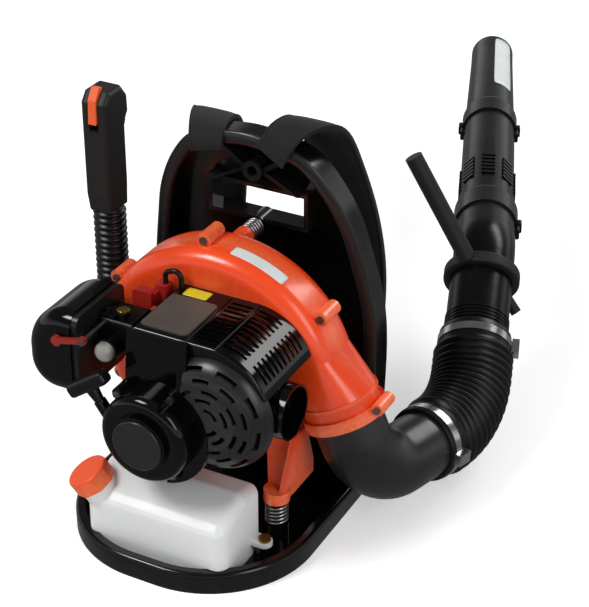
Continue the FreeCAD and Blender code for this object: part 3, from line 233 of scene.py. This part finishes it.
def translucent(name, colour):
    """Milky polyethylene that lets some light through."""
    paint = Paint(name, roughness=0.38)
    darken = 0.93
    base = srgb(*colour)
    dark = tuple(c * darken for c in base[:3]) + (1,)
    paint.ramp(paint.noise(scale=12, detail=3), [(0.3, dark), (0.7, base)], "Base Color")
    paint.shader.inputs["Subsurface Weight"].default_value = 0.45
    paint.shader.inputs["Subsurface Radius"].default_value = (0.02, 0.018, 0.015)
    paint.shader.inputs["Subsurface Scale"].default_value = 0.5
    paint.spread(paint.noise(scale=40, detail=4), 0.30, 0.46, "Roughness")
    paint.bump(paint.noise(scale=500, detail=3), strength=0.12, distance=0.0003)
    return paint.material


def clear_bulb(name):
    """Cloudy clear rubber of the primer's bulb."""
    paint = Paint(name, roughness=0.12)
    tones = [(0.3, srgb(205, 200, 190)), (0.7, srgb(236, 234, 228))]
    paint.ramp(paint.noise(scale=30, detail=3), tones, "Base Color")
    paint.shader.inputs["Transmission Weight"].default_value = 0.35
    paint.shader.inputs["Coat Weight"].default_value = 0.6
    paint.bump(paint.noise(scale=80, detail=2), strength=0.1, distance=0.0005)
    return paint.material


black = moulded("black_moulding", (12, 12, 13), 0.30, grain=0.20, worn=(38, 38, 38), gleam=0.34)
gloss = moulded("gloss_black_moulding", (6, 6, 7), 0.10, grain=0.03, spread=0.03, gleam=0.34)
frame_black = moulded("frame_moulding", (11, 11, 12), 0.18, grain=0.08, worn=(44, 44, 44), gleam=0.42)
# Lighter black moulding; on the frame's rim bead it is a painted highlight, lighter than the frame it belongs
# to
satin_black_and_rim_highlight = moulded("satin_moulding_and_rim_highlight", (34, 33, 33), 0.30, grain=0.12, worn=(56, 55, 54), gleam=0.44)
pipe_black = moulded("pipe_moulding", (10, 9, 9), 0.26, grain=0.10, worn=(38, 36, 34), gleam=0.24)
grip_black = moulded("grip_moulding", (33, 31, 30), 0.52, grain=0.55, gleam=0.30)
plate_grey = moulded("satin_plate", (82, 76, 71), 0.40, grain=0.20, gleam=0.50)
orange = moulded("orange_moulding", (248, 76, 26), 0.28, grain=0.08, coat=0.22, worn=(252, 136, 90))
cap_orange = moulded("orange_cap", (252, 84, 20), 0.40, grain=0.25, worn=(252, 136, 84))
lever_orange = moulded("orange_lever", (250, 98, 38), 0.44, grain=0.30)
lever_red = moulded("red_lever", (150, 34, 20), 0.42, grain=0.25)
white_tank = translucent("tank_polyethylene", (252, 252, 249))
rubber = moulded("hose_rubber", (15, 15, 15), 0.34, grain=0.26, gleam=0.34)
cloth = woven("strap_cloth", (11, 10, 10), 0.0022, sheen=0.05)
binding = woven("strap_binding", (8, 8, 8), 0.0014, sheen=0.06)
webbing = woven("webbing_ribs", (18, 18, 19), 0.0018, ribs=(1, 2))
felt = moulded("filter_felt", (92, 88, 74), 0.92, grain=0.9)
spring_metal = metal("spring_wire", (188, 188, 190), 0.26, stretch=(4, 4, 4))
clamp_metal = metal("clamp_band", (206, 206, 206), 0.20, stretch=(1, 1, 1), grain=0.03)
screw_metal = metal("screw_steel", (150, 148, 146), 0.34, stretch=(3, 3, 3))
brass_metal = metal("brass_screw", (176, 150, 84), 0.32, stretch=(3, 3, 3))
cast = metal("cast_alloy", (150, 150, 152), 0.52, stretch=(2, 2, 2), grain=0.6)
dark_steel = metal("exhaust_steel", (62, 60, 60), 0.44, stretch=(2, 2, 2), grain=0.5)
bulb = clear_bulb("primer_rubber")
label_white = moulded("bare_white_plate", (232, 238, 238), 0.34, grain=0.05)
label_yellow = moulded("bare_yellow_plate", (222, 204, 40), 0.36, grain=0.05)
red_cap = moulded("red_fitting", (166, 30, 22), 0.40, grain=0.2)
carb_dark = metal("dark_alloy", (58, 56, 54), 0.42, stretch=(2, 2, 2), grain=0.5)

NODE_MATERIALS = {
    "backpack_frame": frame_black, "strap_buckles": black, "fuel_tank": white_tank,
    "tank_screws": brass_metal, "fan_housing_front": orange, "fan_housing_rear": orange,
    "housing_screws": screw_metal, "intake_grille": black, "crankcase": cast, "cylinder": cast,
    "piston": cast, "spark_plug": screw_metal, "muffler": dark_steel, "muffler_guard": satin_black_and_rim_highlight,
    "exhaust_outlet": gloss, "cover_plate": plate_grey, "ignition_coil": red_cap,
    "ignition_lead": rubber, "plug_cap": rubber, "engine_cover": gloss, "starter_housing": gloss,
    "starter_screws": screw_metal, "starter_cap": satin_black_and_rim_highlight, "intake_spacer": black,
    "carburettor": carb_dark, "air_cleaner_base": black, "air_filter": felt,
    "air_cleaner_cover": gloss, "choke_pin": screw_metal, "outlet_elbow": satin_black_and_rim_highlight,
    "hose_clamp_lower": clamp_metal, "hose_clamp_upper": clamp_metal, "crankshaft": screw_metal,
    "flywheel": cast, "fan_impeller": black, "fan_nut": screw_metal, "starter_reel": black,
    "starter_handle": black, "primer_bulb": bulb, "choke_lever": lever_red,
    "cover_knob": black, "fuel_cap": cap_orange, "arm_base": black, "arm_pin": screw_metal,
    "grip_left": grip_black, "grip_right": grip_black, "throttle_trigger": grip_black,
    "cruise_lever": lever_orange, "swivel_pipe": pipe_black, "pipe_handle": grip_black,
    "straight_pipe": pipe_black, "nozzle_pipe": pipe_black,
}


def dress_nodes():
    """Gives every solid its material; what isn't listed is black moulding."""
    for name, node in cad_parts.items():
        material = NODE_MATERIALS.get(name, black)
        node.data.materials.clear()
        node.data.materials.append(material)
        for face in node.data.polygons:
            face.material_index = 0


# Mesh helpers

def new_object(name, mesh, material, smooth=True):
    obj = bpy.data.objects.new(name, mesh)
    bpy.context.scene.collection.objects.link(obj)
    mesh.materials.append(material)
    if smooth:
        for face in mesh.polygons:
            face.use_smooth = True
    return obj


def mesh_from(name, points, faces, material, smooth=True):
    mesh = bpy.data.meshes.new(name)
    mesh.from_pydata([tuple(p) for p in points], [], faces)
    mesh.update()
    return new_object(name, mesh, material, smooth)


def subdivide(obj, levels):
    modifier = obj.modifiers.new("rounded", "SUBSURF")
    modifier.levels = levels
    modifier.render_levels = levels


def arc_path(points, radius, steps=24):
    """Points and directions along straight runs with one arc at the middle corner."""
    start, corner, end = points
    arrive = (corner - start).normalized()
    leave = (end - corner).normalized()
    turn = arrive.angle(leave)
    cut = radius * math.tan(turn / 2)
    first = corner - arrive * cut
    last = corner + leave * cut
    centre = corner + (leave - arrive).normalized() * (radius / math.cos(turn / 2))
    run_in = (first - start).length
    run_out = (end - last).length
    bend = radius * turn
    axis = arrive.cross(leave).normalized()

    def at(s):
        if s < run_in:
            return start + arrive * s, arrive
        if s < run_in + bend:
            angle = (s - run_in) / radius
            spin = Matrix.Rotation(angle, 3, axis)
            return centre + spin @ (first - centre), spin @ arrive
        return last + leave * (s - run_in - bend), leave

    return at, run_in + bend + run_out


def ringed(name, at, profile, material, around):
    """Tube through (distance, radius) pairs along a path."""
    points = []
    for s, radius in profile:
        centre, axis = at(s)
        side = (X - axis * X.dot(axis)).normalized()
        other = axis.cross(side)
        for k in range(around):
            a = 2 * math.pi * k / around
            points.append(centre + (side * math.cos(a) + other * math.sin(a)) * radius)
    faces = []
    for i in range(len(profile) - 1):
        for k in range(around):
            n = (k + 1) % around
            faces.append((i * around + k, i * around + n, (i + 1) * around + n, (i + 1) * around + k))
    return mesh_from(name, points, faces, material)


def wave_profile(low, high, root, crest, count):
    """Smooth round ribs between two distances."""
    pitch = (high - low) / count
    steps = 10
    fullness = 0.7
    profile = []
    for k in range(count * steps + 1):
        t = k / steps
        lift = (0.5 - 0.5 * math.cos(2 * math.pi * t)) ** fullness
        profile.append((low + pitch * t, root + (crest - root) * lift))
    return profile


# Hose, conduit and springs

def flex_hose():
    """Ribbed hose with a plain cuff under each clamp, and its bore."""
    seat_gap = 0.004
    start = hose_start + hose_dir * seat_gap
    at, length = arc_path([start, hose_corner, hose_end], hose_bend_radius)
    cuff = 0.026
    bore = 0.0412
    bore_middle = 0.0405
    low_lip = 0.0445
    low_cuff = 0.0452
    high_lip = 0.0440
    high_cuff = 0.0446
    edge = 0.001
    step = 0.003
    rib_root = 0.0442
    rib_crest = 0.0492
    ribs = 15
    profile = [(0.0, bore), (0.0, low_lip), (edge, low_cuff), (cuff - step, low_cuff)]
    profile += wave_profile(cuff, length - cuff, rib_root, rib_crest, ribs)
    profile += [(length - cuff + step, high_cuff), (length - edge, high_cuff)]
    profile += [(length, high_lip), (length, bore)]
    profile += [(length - cuff, bore), (length * 0.5, bore_middle), (cuff, bore), (0.0, bore)]
    hose = ringed("ribbed_hose", at, profile, rubber, around=72)
    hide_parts("flex_hose")
    low, _ = at(cuff)
    high, _ = at(length - cuff)
    tuple(low)
    tuple(high)
    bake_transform(hose)


def conduit():
    """Ribbed tube that carries the throttle cable up to the grip."""
    bottom = 0.180
    top = 0.310
    bore = 0.006
    rib_root = 0.0160
    rib_crest = 0.0194
    ribs = 16
    edge = 0.001

    def at(s):
        return Vector((arm_x, arm_y, bottom)) + Z * s, Z

    profile = [(0.0, bore), (0.0, rib_root)]
    profile += wave_profile(edge, top - bottom - edge, rib_root, rib_crest, ribs)
    profile += [(top - bottom, rib_root), (top - bottom, bore)]
    tube = ringed("ribbed_conduit", at, profile, rubber, around=48)
    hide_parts("throttle_conduit")
    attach(tube, "arm")


def coil(name, base, axis, radius, wire, turns, length):
    """Open coil of even pitch between two seats, length apart along the axis."""
    side = axis.cross(X).normalized()
    other = axis.cross(side)
    steps = 28
    total = int(turns * steps)
    curve = bpy.data.curves.new(name, "CURVE")
    curve.dimensions = "3D"
    curve.bevel_depth = wire
    curve.bevel_resolution = 4
    curve.use_fill_caps = True
    spline = curve.splines.new("POLY")
    spline.points.add(total)
    for k in range(total + 1):
        a = 2 * math.pi * k / steps
        height = wire + (length - 2 * wire) * k / total
        p = base + side * (radius * math.cos(a)) + other * (radius * math.sin(a)) + axis * height
        spline.points[k].co = (*p, 1)
    obj = bpy.data.objects.new(name, curve)
    bpy.context.scene.collection.objects.link(obj)
    mesh = bpy.data.meshes.new_from_object(obj.evaluated_get(bpy.context.evaluated_depsgraph_get()))
    bpy.data.objects.remove(obj)
    return new_object(name, mesh, spring_metal)


def springs():
    """Two coils under the power unit, and one between its top and the backrest."""
    low = 0.030
    high = 0.060
    for side, word in ((-1, "left"), (1, "right")):
        base = Vector((side * spring_x, spring_y, low))
        piece = coil("mount_spring_" + word, base, Z, radius=0.012, wire=0.0016, turns=5.5, length=high - low)
        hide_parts("lower_springs")
        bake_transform(piece)
    near = 0.092
    far = 0.118
    base = Vector((0, near, 0.316))
    piece = coil("mount_spring_upper", base, Y, radius=0.009, wire=0.0014, turns=5, length=far - near)
    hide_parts("upper_spring")
    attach(piece, "power_unit")


# Harness

def station_axes(lean, tilt):
    """Directions across a strap and out of it, for its lean and sideways tilt in degrees."""
    a = math.radians(lean)
    t = math.radians(tilt)
    run = Vector((0, math.cos(a), math.sin(a)))
    return X * math.cos(t) + run * math.sin(t), X.cross(run).normalized()


def ribbon(name, stations, material, crown):
    """Strap, binding or webbing: a closed section with round edges carried through its stations."""
    across = 14
    squareness = 0.35
    roundness = 0.8
    ring = []
    for k in range(across):
        a = 2 * math.pi * k / across
        c, s = math.cos(a), math.sin(a)
        u = math.copysign(abs(c) ** squareness, c)
        v = math.copysign(abs(s) ** roundness, s) * (1 + crown * (1 - u * u))
        ring.append((u, v))
    points = []
    for x, y, z, half, thick, lean, tilt in stations:
        side, normal = station_axes(lean, tilt)
        for u, v in ring:
            points.append(Vector((x, y, z)) + side * (half * u) + normal * (thick * v))
    faces = []
    count = len(stations)
    for i in range(count - 1):
        for k in range(across):
            n = (k + 1) % across
            faces.append((i * across + k, i * across + n, (i + 1) * across + n, (i + 1) * across + k))
    faces.append(tuple(reversed(range(across))))
    faces.append(tuple((count - 1) * across + k for k in range(across)))
    return mesh_from(name, points, faces, material)


def spline_rows(rows, steps):
    """Catmull-Rom rows between the given ones, so that a strap bends smoothly."""
    result = []
    for i in range(len(rows) - 1):
        before = rows[max(i - 1, 0)]
        a, b = rows[i], rows[i + 1]
        after = rows[min(i + 2, len(rows) - 1)]
        for k in range(steps):
            t = k / steps
            row = []
            for p, q, r, s in zip(before, a, b, after):
                row.append(0.5 * (2 * q + (r - p) * t + (2 * p - 5 * q + 4 * r - s) * t * t
                                  + (3 * q - p - 3 * r + s) * t ** 3))
            result.append(tuple(row))
    result.append(rows[-1])
    return result


def strap_rows(side):
    """Stations from the strap's front end over the frame's top and down behind it.

    The rows give distance from the middle, y, z, half width and half thickness in millimetres, then
    lean and tilt in degrees. The result is in metres, with x to the strap's own side.
    """
    if side < 0:
        rows = [(45, 87.6, 411, 19, 2.0, 78, 14), (44, 85.0, 422, 19.5, 2.0, 65, 12),
                (48, 94.8, 435, 20.5, 2.2, 35, 6), (59, 122, 436, 24, 3.0, -5, 0),
                (66, 148, 427, 29, 4.0, -60, 0)]
    else:
        rows = [(34, 86.2, 421, 18, 2.0, 75, -28), (41, 85.8, 434, 18.5, 2.0, 62, -24),
                (50, 95.5, 450.5, 20.5, 2.2, 32, -16), (62, 122, 454, 26, 3.0, -5, -4),
                (68, 148, 436, 30, 4.0, -60, 0)]
    rows += [(74, 168, 392, 32, 4.5, -80, 0), (84, 184, 330, 33, 5.0, -85, 0),
             (92, 191, 265, 33, 5.0, -90, 0), (93, 191, 200, 33, 5.0, -90, 0),
             (94, 184, 140, 28, 4.0, -97, 0)]
    return [(side * x * MM, y * MM, z * MM, half * MM, thick * MM, lean, tilt)
            for x, y, z, half, thick, lean, tilt in rows]


def straps():
    """Padded shoulder straps, one subdivision rounder than their stations."""
    for side, word in ((-1, "left"), (1, "right")):
        rows = spline_rows(strap_rows(side), 5)
        strap = ribbon("padded_strap_" + word, rows, cloth, 0.35)
        subdivide(strap, 1)
        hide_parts("shoulder_strap_" + word)
        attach(strap, "frame")


def strap_edges():
    """Binding sewn round both long edges of each shoulder strap."""
    inset = 0.0012
    half_width = 0.0022
    share = 0.55
    cover = 0.0009
    for side, word in ((-1, "left"), (1, "right")):
        rows = spline_rows(strap_rows(side), 5)
        for edge in (-1, 1):
            trim = []
            for x, y, z, half, thick, lean, tilt in rows:
                spot = Vector((x, y, z)) + station_axes(lean, tilt)[0] * (edge * (half - inset))
                trim.append((*spot, half_width, thick * share + cover, lean, tilt))
            place = "outer" if edge * side > 0 else "inner"
            piece = ribbon("strap_binding_%s_%s" % (word, place), trim, binding, 0.1)
            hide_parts("shoulder_strap_" + word)
            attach(piece, "frame")


# Films, idle screw and the dark sheet of painted shade behind the guard

def bare_plate(name, at, steps, material, body):
    """Bare film with round corners: at(u, v) gives its surface for u and v from -1 to 1."""
    squareness = 14
    tiny = 1e-6
    points = []
    for j in range(steps + 1):
        for i in range(steps + 1):
            u = -1 + 2 * i / steps
            v = -1 + 2 * j / steps
            reach = (abs(u) ** squareness + abs(v) ** squareness) ** (1 / squareness)
            square = max(abs(u), abs(v), tiny)
            points.append(at(u * square / max(reach, tiny), v * square / max(reach, tiny)))
    faces = []
    for j in range(steps):
        for i in range(steps):
            a = j * (steps + 1) + i
            faces.append((a, a + 1, a + steps + 2, a + steps + 1))
    plate = mesh_from(name, points, faces, material)
    thick = plate.modifiers.new("film", "SOLIDIFY")
    thick.thickness = 0.0003
    thick.offset = 1
    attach(plate, body)


def bare_plates():
    """Films on the housing's rim, the engine cover's top and the nozzle."""
    band_radius = 0.15012
    cover_top = 0.28505
    half_depth = 0.0085

    def on_band(u, v):
        a = math.radians(71 - 13 * u)
        y = 0.0365 - half_depth * v
        return Vector((band_radius * math.cos(a), y, crank_z + band_radius * math.sin(a)))

    def on_cover(u, v):
        return Vector((-0.0080 + 0.0150 * u, -0.0010 + half_depth * v, cover_top))

    side = pipe_dir.cross(Z).normalized()
    up = side.cross(pipe_dir).normalized()
    mouth_radius = 0.0323
    mouth_length = 0.040
    taper_length = 0.2092
    widening = 0.0032
    lift = 0.0001

    def on_nozzle(u, v):
        back = 0.102 + 0.092 * v
        radius = mouth_radius + widening * max(back - mouth_length, 0) / taper_length
        a = math.radians(59 + 25 * u)
        return tip - pipe_dir * back + (side * math.cos(a) + up * math.sin(a)) * (radius + lift)

    bare_plate("bare_white_strip", on_band, 24, label_white, "power_unit")
    bare_plate("bare_yellow_strip", on_cover, 10, label_yellow, "power_unit")
    bare_plate("bare_nozzle_patch", on_nozzle, 16, label_white, "nozzle")


def idle_screw():
    """Knurled brass screw on the carburettor."""
    centre = Vector((-0.071, -0.052, 0.2731))
    teeth = 16
    mean_radius = 0.0066
    tooth = 0.0006
    n = teeth * 4
    points = []
    for height, shrink in ((0.0, 1.0), (0.0021, 1.0), (0.0026, 0.93)):
        for k in range(n):
            a = 2 * math.pi * k / n
            radius = (mean_radius + tooth * (1 if k % 4 < 2 else -1)) * shrink
            points.append(centre + Vector((radius * math.cos(a), radius * math.sin(a), height)))
    faces = []
    for layer in range(2):
        for k in range(n):
            m = (k + 1) % n
            faces.append((layer * n + k, layer * n + m, (layer + 1) * n + m, (layer + 1) * n + k))
    faces.append(tuple(2 * n + k for k in range(n)))
    faces.append(tuple(reversed(range(n))))
    screw = mesh_from("idle_screw", points, faces, brass_metal, smooth=False)
    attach(screw, "power_unit")


def guard_slot_shade():
    """Dark sheet just behind the muffler guard's slots: painted shade that darkens the view through them."""
    centre = Vector((0.062, -0.0832, 0.206))
    radius = 0.0625
    chord = 0.0365
    thickness = 0.0008
    half_turn = math.acos((chord - centre.x) / radius)
    steps = 40
    rim = []
    for k in range(steps + 1):
        a = half_turn * (2 * k / steps - 1)
        rim.append((radius * math.cos(a), radius * math.sin(a)))
    points = []
    for depth in (0.0, thickness):
        for x, z in rim:
            points.append(centre + Vector((x, depth, z)))
    n = steps + 1
    faces = [tuple(range(n)), tuple(reversed(range(n, 2 * n)))]
    for k in range(n):
        m = (k + 1) % n
        faces.append((k, n + k, n + m, m))
    # painted shade: a thin dark sheet behind the slots, where the guard has only shade inside
    shade_sheet = mesh_from("guard_slot_shade", points, faces, dark_steel, smooth=False)
    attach(shade_sheet, "power_unit")


# Backrest's rim and pad, and the lower webbing

def back_front(z):
    """Y of the backrest's front edge at height z."""
    steepening = 1.25
    if z < back_mid_z:
        return back_low_y + back_bulge * math.sin(z / back_mid_z * math.pi / 2)
    return back_mid_y - back_lean * ((z - back_mid_z) / back_lean_height) ** steepening


def bead(name, line, wide, tall):
    """Rounded moulding laid on the frame's front along (x, z) points, in a lighter black that is a painted
    highlight.
    """
    around = 16
    points = []
    count = len(line)
    for i, (x, z) in enumerate(line):
        a = line[max(i - 1, 0)]
        b = line[min(i + 1, count - 1)]
        centre = Vector((x, back_front(max(z, 0)), z))
        rise = back_front(max(b[1], 0)) - back_front(max(a[1], 0))
        run = Vector((b[0] - a[0], rise, b[1] - a[1])).normalized()
        out = (run * run.dot(Y) - Y).normalized()
        across = run.cross(out)
        for k in range(around):
            t = 2 * math.pi * k / around
            points.append(centre + across * (wide * math.cos(t)) + out * (tall * math.sin(t)))
    faces = []
    for i in range(count - 1):
        for k in range(around):
            n = (k + 1) % around
            faces.append((i * around + k, i * around + n, (i + 1) * around + n, (i + 1) * around + k))
    faces.append(tuple(reversed(range(around))))
    faces.append(tuple((count - 1) * around + k for k in range(around)))
    # the lighter material here is a painted highlight: the rim is part of the frame's own black moulding
    piece = mesh_from(name, points, faces, satin_black_and_rim_highlight)
    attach(piece, "frame")


def frame_beads():
    """Rounded rim along the backrest's front edge, from (x, z) points in millimetres, painted lighter than
    the frame as a highlight along it.
    """
    half = [(142, 36), (144, 70), (145, 110), (144.5, 170), (141, 235), (129, 303),
            (118, 348), (98, 390), (70, 423), (34, 434), (0, 438)]
    top = half[-1][1]
    inset = 6.3
    side_share = 0.4
    edge = []
    for x, z in half:
        k = z / top
        edge.append(((x - inset * (1 - side_share * k ** 6)) * MM, (z - inset * k ** 3) * MM))
    edge[-1] = (0.0, (top - inset) * MM)
    rim = edge + [(-x, z) for x, z in reversed(edge[:-1])]
    rim = spline_rows(rim, 6)
    bead("frame_rim", rim, wide=0.0078, tall=0.0036)


def back_cushion():
    """Crowned pad behind the backrest, drawn in along its edge and its sewn channels."""
    low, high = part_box("back_pad")
    low, high = Vector(low), Vector(high)
    half = (high.x - low.x) / 2
    mid_z = (high.z + low.z) / 2
    tall = (high.z - low.z) / 2
    columns, rows = 40, 64
    thick = 0.0165
    border = 0.003
    clearance = 0.0303
    squareness = 6
    fall = 5
    channel_rate = 2.5
    channel_depth = 0.32
    channel_spread = 0.004
    tiny = 1e-6
    points = []
    for layer in (0, 1):
        for j in range(rows + 1):
            for i in range(columns + 1):
                u = -1 + 2 * i / columns
                v = -1 + 2 * j / rows
                reach = (abs(u) ** squareness + abs(v) ** squareness) ** (1 / squareness)
                square = max(abs(u), abs(v), tiny)
                x = half * u * square / max(reach, tiny)
                z = mid_z + tall * v * square / max(reach, tiny)
                base = back_front(z) + clearance
                if layer == 0:
                    y = base
                else:
                    edge = max(0.0, 1 - reach ** fall) ** 0.5
                    off = (v * channel_rate + 0.5) % 1 - 0.5
                    channel = 1 - channel_depth * math.exp(-off ** 2 / channel_spread)
                    y = base + border * (edge > 0) + (thick - border) * edge * channel
                points.append((x, y, z))
    n = (columns + 1) * (rows + 1)
    faces = []
    for j in range(rows):
        for i in range(columns):
            a = j * (columns + 1) + i
            b = a + columns + 1
            faces.append((a, a + 1, b + 1, b))
            faces.append((n + a, n + b, n + b + 1, n + a + 1))
    for i in range(columns):
        faces.append((i, n + i, n + i + 1, i + 1))
        a = rows * (columns + 1) + i
        faces.append((a, a + 1, n + a + 1, n + a))
    for j in range(rows):
        a = j * (columns + 1)
        b = a + columns + 1
        faces.append((a, b, n + b, n + a))
        a = a + columns
        b = b + columns
        faces.append((a, n + a, n + b, b))
    pad = mesh_from("sewn_back_pad", points, faces, cloth)
    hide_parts("back_pad")
    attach(pad, "frame")


def webbing_straps():
    """Flat webbing below each shoulder strap, along (y, z) points in millimetres."""
    line = [(184.0, 139.0), (179.0, 124.0), (172.4, 104.0), (166.0, 86.0), (161.4, 75.0),
            (158.6, 62.0), (158.4, 44.5)]
    half_width = 0.0119
    half_thickness = 0.0009
    for side, word in ((-1, "left"), (1, "right")):
        x = side * 0.094
        rows = []
        for i, (y, z) in enumerate(line):
            a = line[max(i - 1, 0)]
            b = line[min(i + 1, len(line) - 1)]
            lean = math.degrees(math.atan2(b[1] - a[1], b[0] - a[0]))
            rows.append((x, y * MM, z * MM, half_width, half_thickness, lean, 0))
        strap = ribbon("webbing_" + word, spline_rows(rows, 4), webbing, 0.0)
        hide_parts("strap_webbing")
        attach(strap, "frame")


# Stage

def photo_camera(scene):
    """Camera at the photograph's viewing angle."""
    camera_data = bpy.data.cameras.new("photo_camera")
    camera_data.lens = 107.2
    camera_data.sensor_width = 36
    camera_data.clip_end = 30
    camera = bpy.data.objects.new("photo_camera", camera_data)
    scene.collection.objects.link(camera)
    forward = Vector((-0.4005, 0.7629, -0.5075)).normalized()
    up = Vector((-0.2359, 0.4493, 0.8616))
    right = forward.cross(up).normalized()
    up = right.cross(forward)
    turn = Matrix((right, up, -forward)).transposed()
    place = Vector((0.8705, -1.4490, 1.2689))
    camera.matrix_world = Matrix.Translation(place) @ turn.to_4x4()
    scene.camera = camera


def pale_floor():
    """Pale floor: it glows a little for the camera, and is a dim grey in reflections."""
    floor_paint = Paint("pale_floor", roughness=0.75)
    tones = [(0.3, (0.86, 0.86, 0.86, 1)), (0.7, (0.9, 0.9, 0.9, 1))]
    floor_paint.ramp(floor_paint.noise(scale=3, detail=2), tones, "Base Color")
    glow = floor_paint.add("ShaderNodeEmission")
    glow.inputs["Color"].default_value = (1, 1, 1, 1)
    glow.inputs["Strength"].default_value = 0.42
    both = floor_paint.add("ShaderNodeAddShader")
    pick = floor_paint.add("ShaderNodeMixShader")
    rays = floor_paint.add("ShaderNodeLightPath")
    output = floor_paint.tree.nodes["Material Output"]
    floor_paint.link(floor_paint.shader.outputs[0], both.inputs[0])
    floor_paint.link(glow.outputs[0], both.inputs[1])
    floor_paint.link(rays.outputs["Is Camera Ray"], pick.inputs[0])
    floor_paint.link(floor_paint.shader.outputs[0], pick.inputs[1])
    floor_paint.link(both.outputs[0], pick.inputs[2])
    shade = floor_paint.add("ShaderNodeEmission")
    shade.inputs["Strength"].default_value = 0.20
    mirror = floor_paint.add("ShaderNodeMixShader")
    floor_paint.link(rays.outputs["Is Glossy Ray"], mirror.inputs[0])
    floor_paint.link(pick.outputs[0], mirror.inputs[1])
    floor_paint.link(shade.outputs[0], mirror.inputs[2])
    floor_paint.link(mirror.outputs[0], output.inputs["Surface"])
    reach = 9
    corners = [(-reach, -reach, 0), (reach, -reach, 0), (reach, reach, 0), (-reach, reach, 0)]
    floor = mesh_from("floor", corners, [(0, 1, 2, 3)], floor_paint.material, smooth=False)


def soft_room(scene):
    """Room that is white to the camera, even as light, and brightest at the horizon in reflections."""
    world = bpy.data.worlds.new("soft_room")
    world.use_nodes = True
    scene.world = world
    nodes = world.node_tree.nodes
    links = world.node_tree.links
    background = nodes["Background"]
    background.inputs["Color"].default_value = (1, 1, 1, 1)
    background.inputs["Strength"].default_value = 0.35
    white = nodes.new("ShaderNodeBackground")
    white.inputs["Strength"].default_value = 1.0
    choose = nodes.new("ShaderNodeMixShader")
    path = nodes.new("ShaderNodeLightPath")
    links.new(path.outputs["Is Camera Ray"], choose.inputs[0])
    links.new(background.outputs[0], choose.inputs[1])
    links.new(white.outputs[0], choose.inputs[2])
    coords = nodes.new("ShaderNodeTexCoord")
    split = nodes.new("ShaderNodeSeparateXYZ")
    band = nodes.new("ShaderNodeValToRGB")
    heights = ((0.0, 0.95), (0.16, 0.80), (0.34, 0.10), (1.0, 0.14))
    while len(band.color_ramp.elements) < len(heights):
        band.color_ramp.elements.new(0.5)
    for element, (height, bright) in zip(band.color_ramp.elements, heights):
        element.position = height
        element.color = (bright, bright, bright, 1)
    mirrored = nodes.new("ShaderNodeBackground")
    glossy = nodes.new("ShaderNodeMixShader")
    links.new(coords.outputs["Generated"], split.inputs["Vector"])
    links.new(split.outputs["Z"], band.inputs["Fac"])
    links.new(band.outputs["Color"], mirrored.inputs["Color"])
    links.new(path.outputs["Is Glossy Ray"], glossy.inputs[0])
    links.new(choose.outputs[0], glossy.inputs[1])
    links.new(mirrored.outputs[0], glossy.inputs[2])
    links.new(glossy.outputs[0], nodes["World Output"].inputs["Surface"])


def softbox(name, place, target, size, power):
    """Rectangular lamp that faces its target."""
    data = bpy.data.lights.new(name, "AREA")
    data.shape = "RECTANGLE"
    data.size, data.size_y = size
    data.energy = power
    lamp = bpy.data.objects.new(name, data)
    bpy.context.scene.collection.objects.link(lamp)
    lamp.location = place
    lamp.rotation_euler = (Vector(target) - Vector(place)).to_track_quat("-Z", "Y").to_euler()


def studio():
    scene = bpy.context.scene
    scene.view_settings.view_transform = "Standard"
    photo_camera(scene)
    pale_floor()
    soft_room(scene)
    softbox("key_softbox", (-1.2, -1.3, 2.4), (0, 0.2, 0.15), (1.0, 0.8), 46)
    softbox("fill_softbox", (2.3, -0.9, 1.7), (0.05, 0.2, 0.2), (1.0, 1.6), 22)
    softbox("rim_softbox", (0.9, 2.4, 1.9), (0, 0.3, 0.2), (1.8, 0.7), 26)


def main():
    dress_nodes()
    flex_hose()
    conduit()
    springs()
    straps()
    strap_edges()
    frame_beads()
    back_cushion()
    bare_plates()
    idle_screw()
    guard_slot_shade()
    webbing_straps()
    studio()


main()
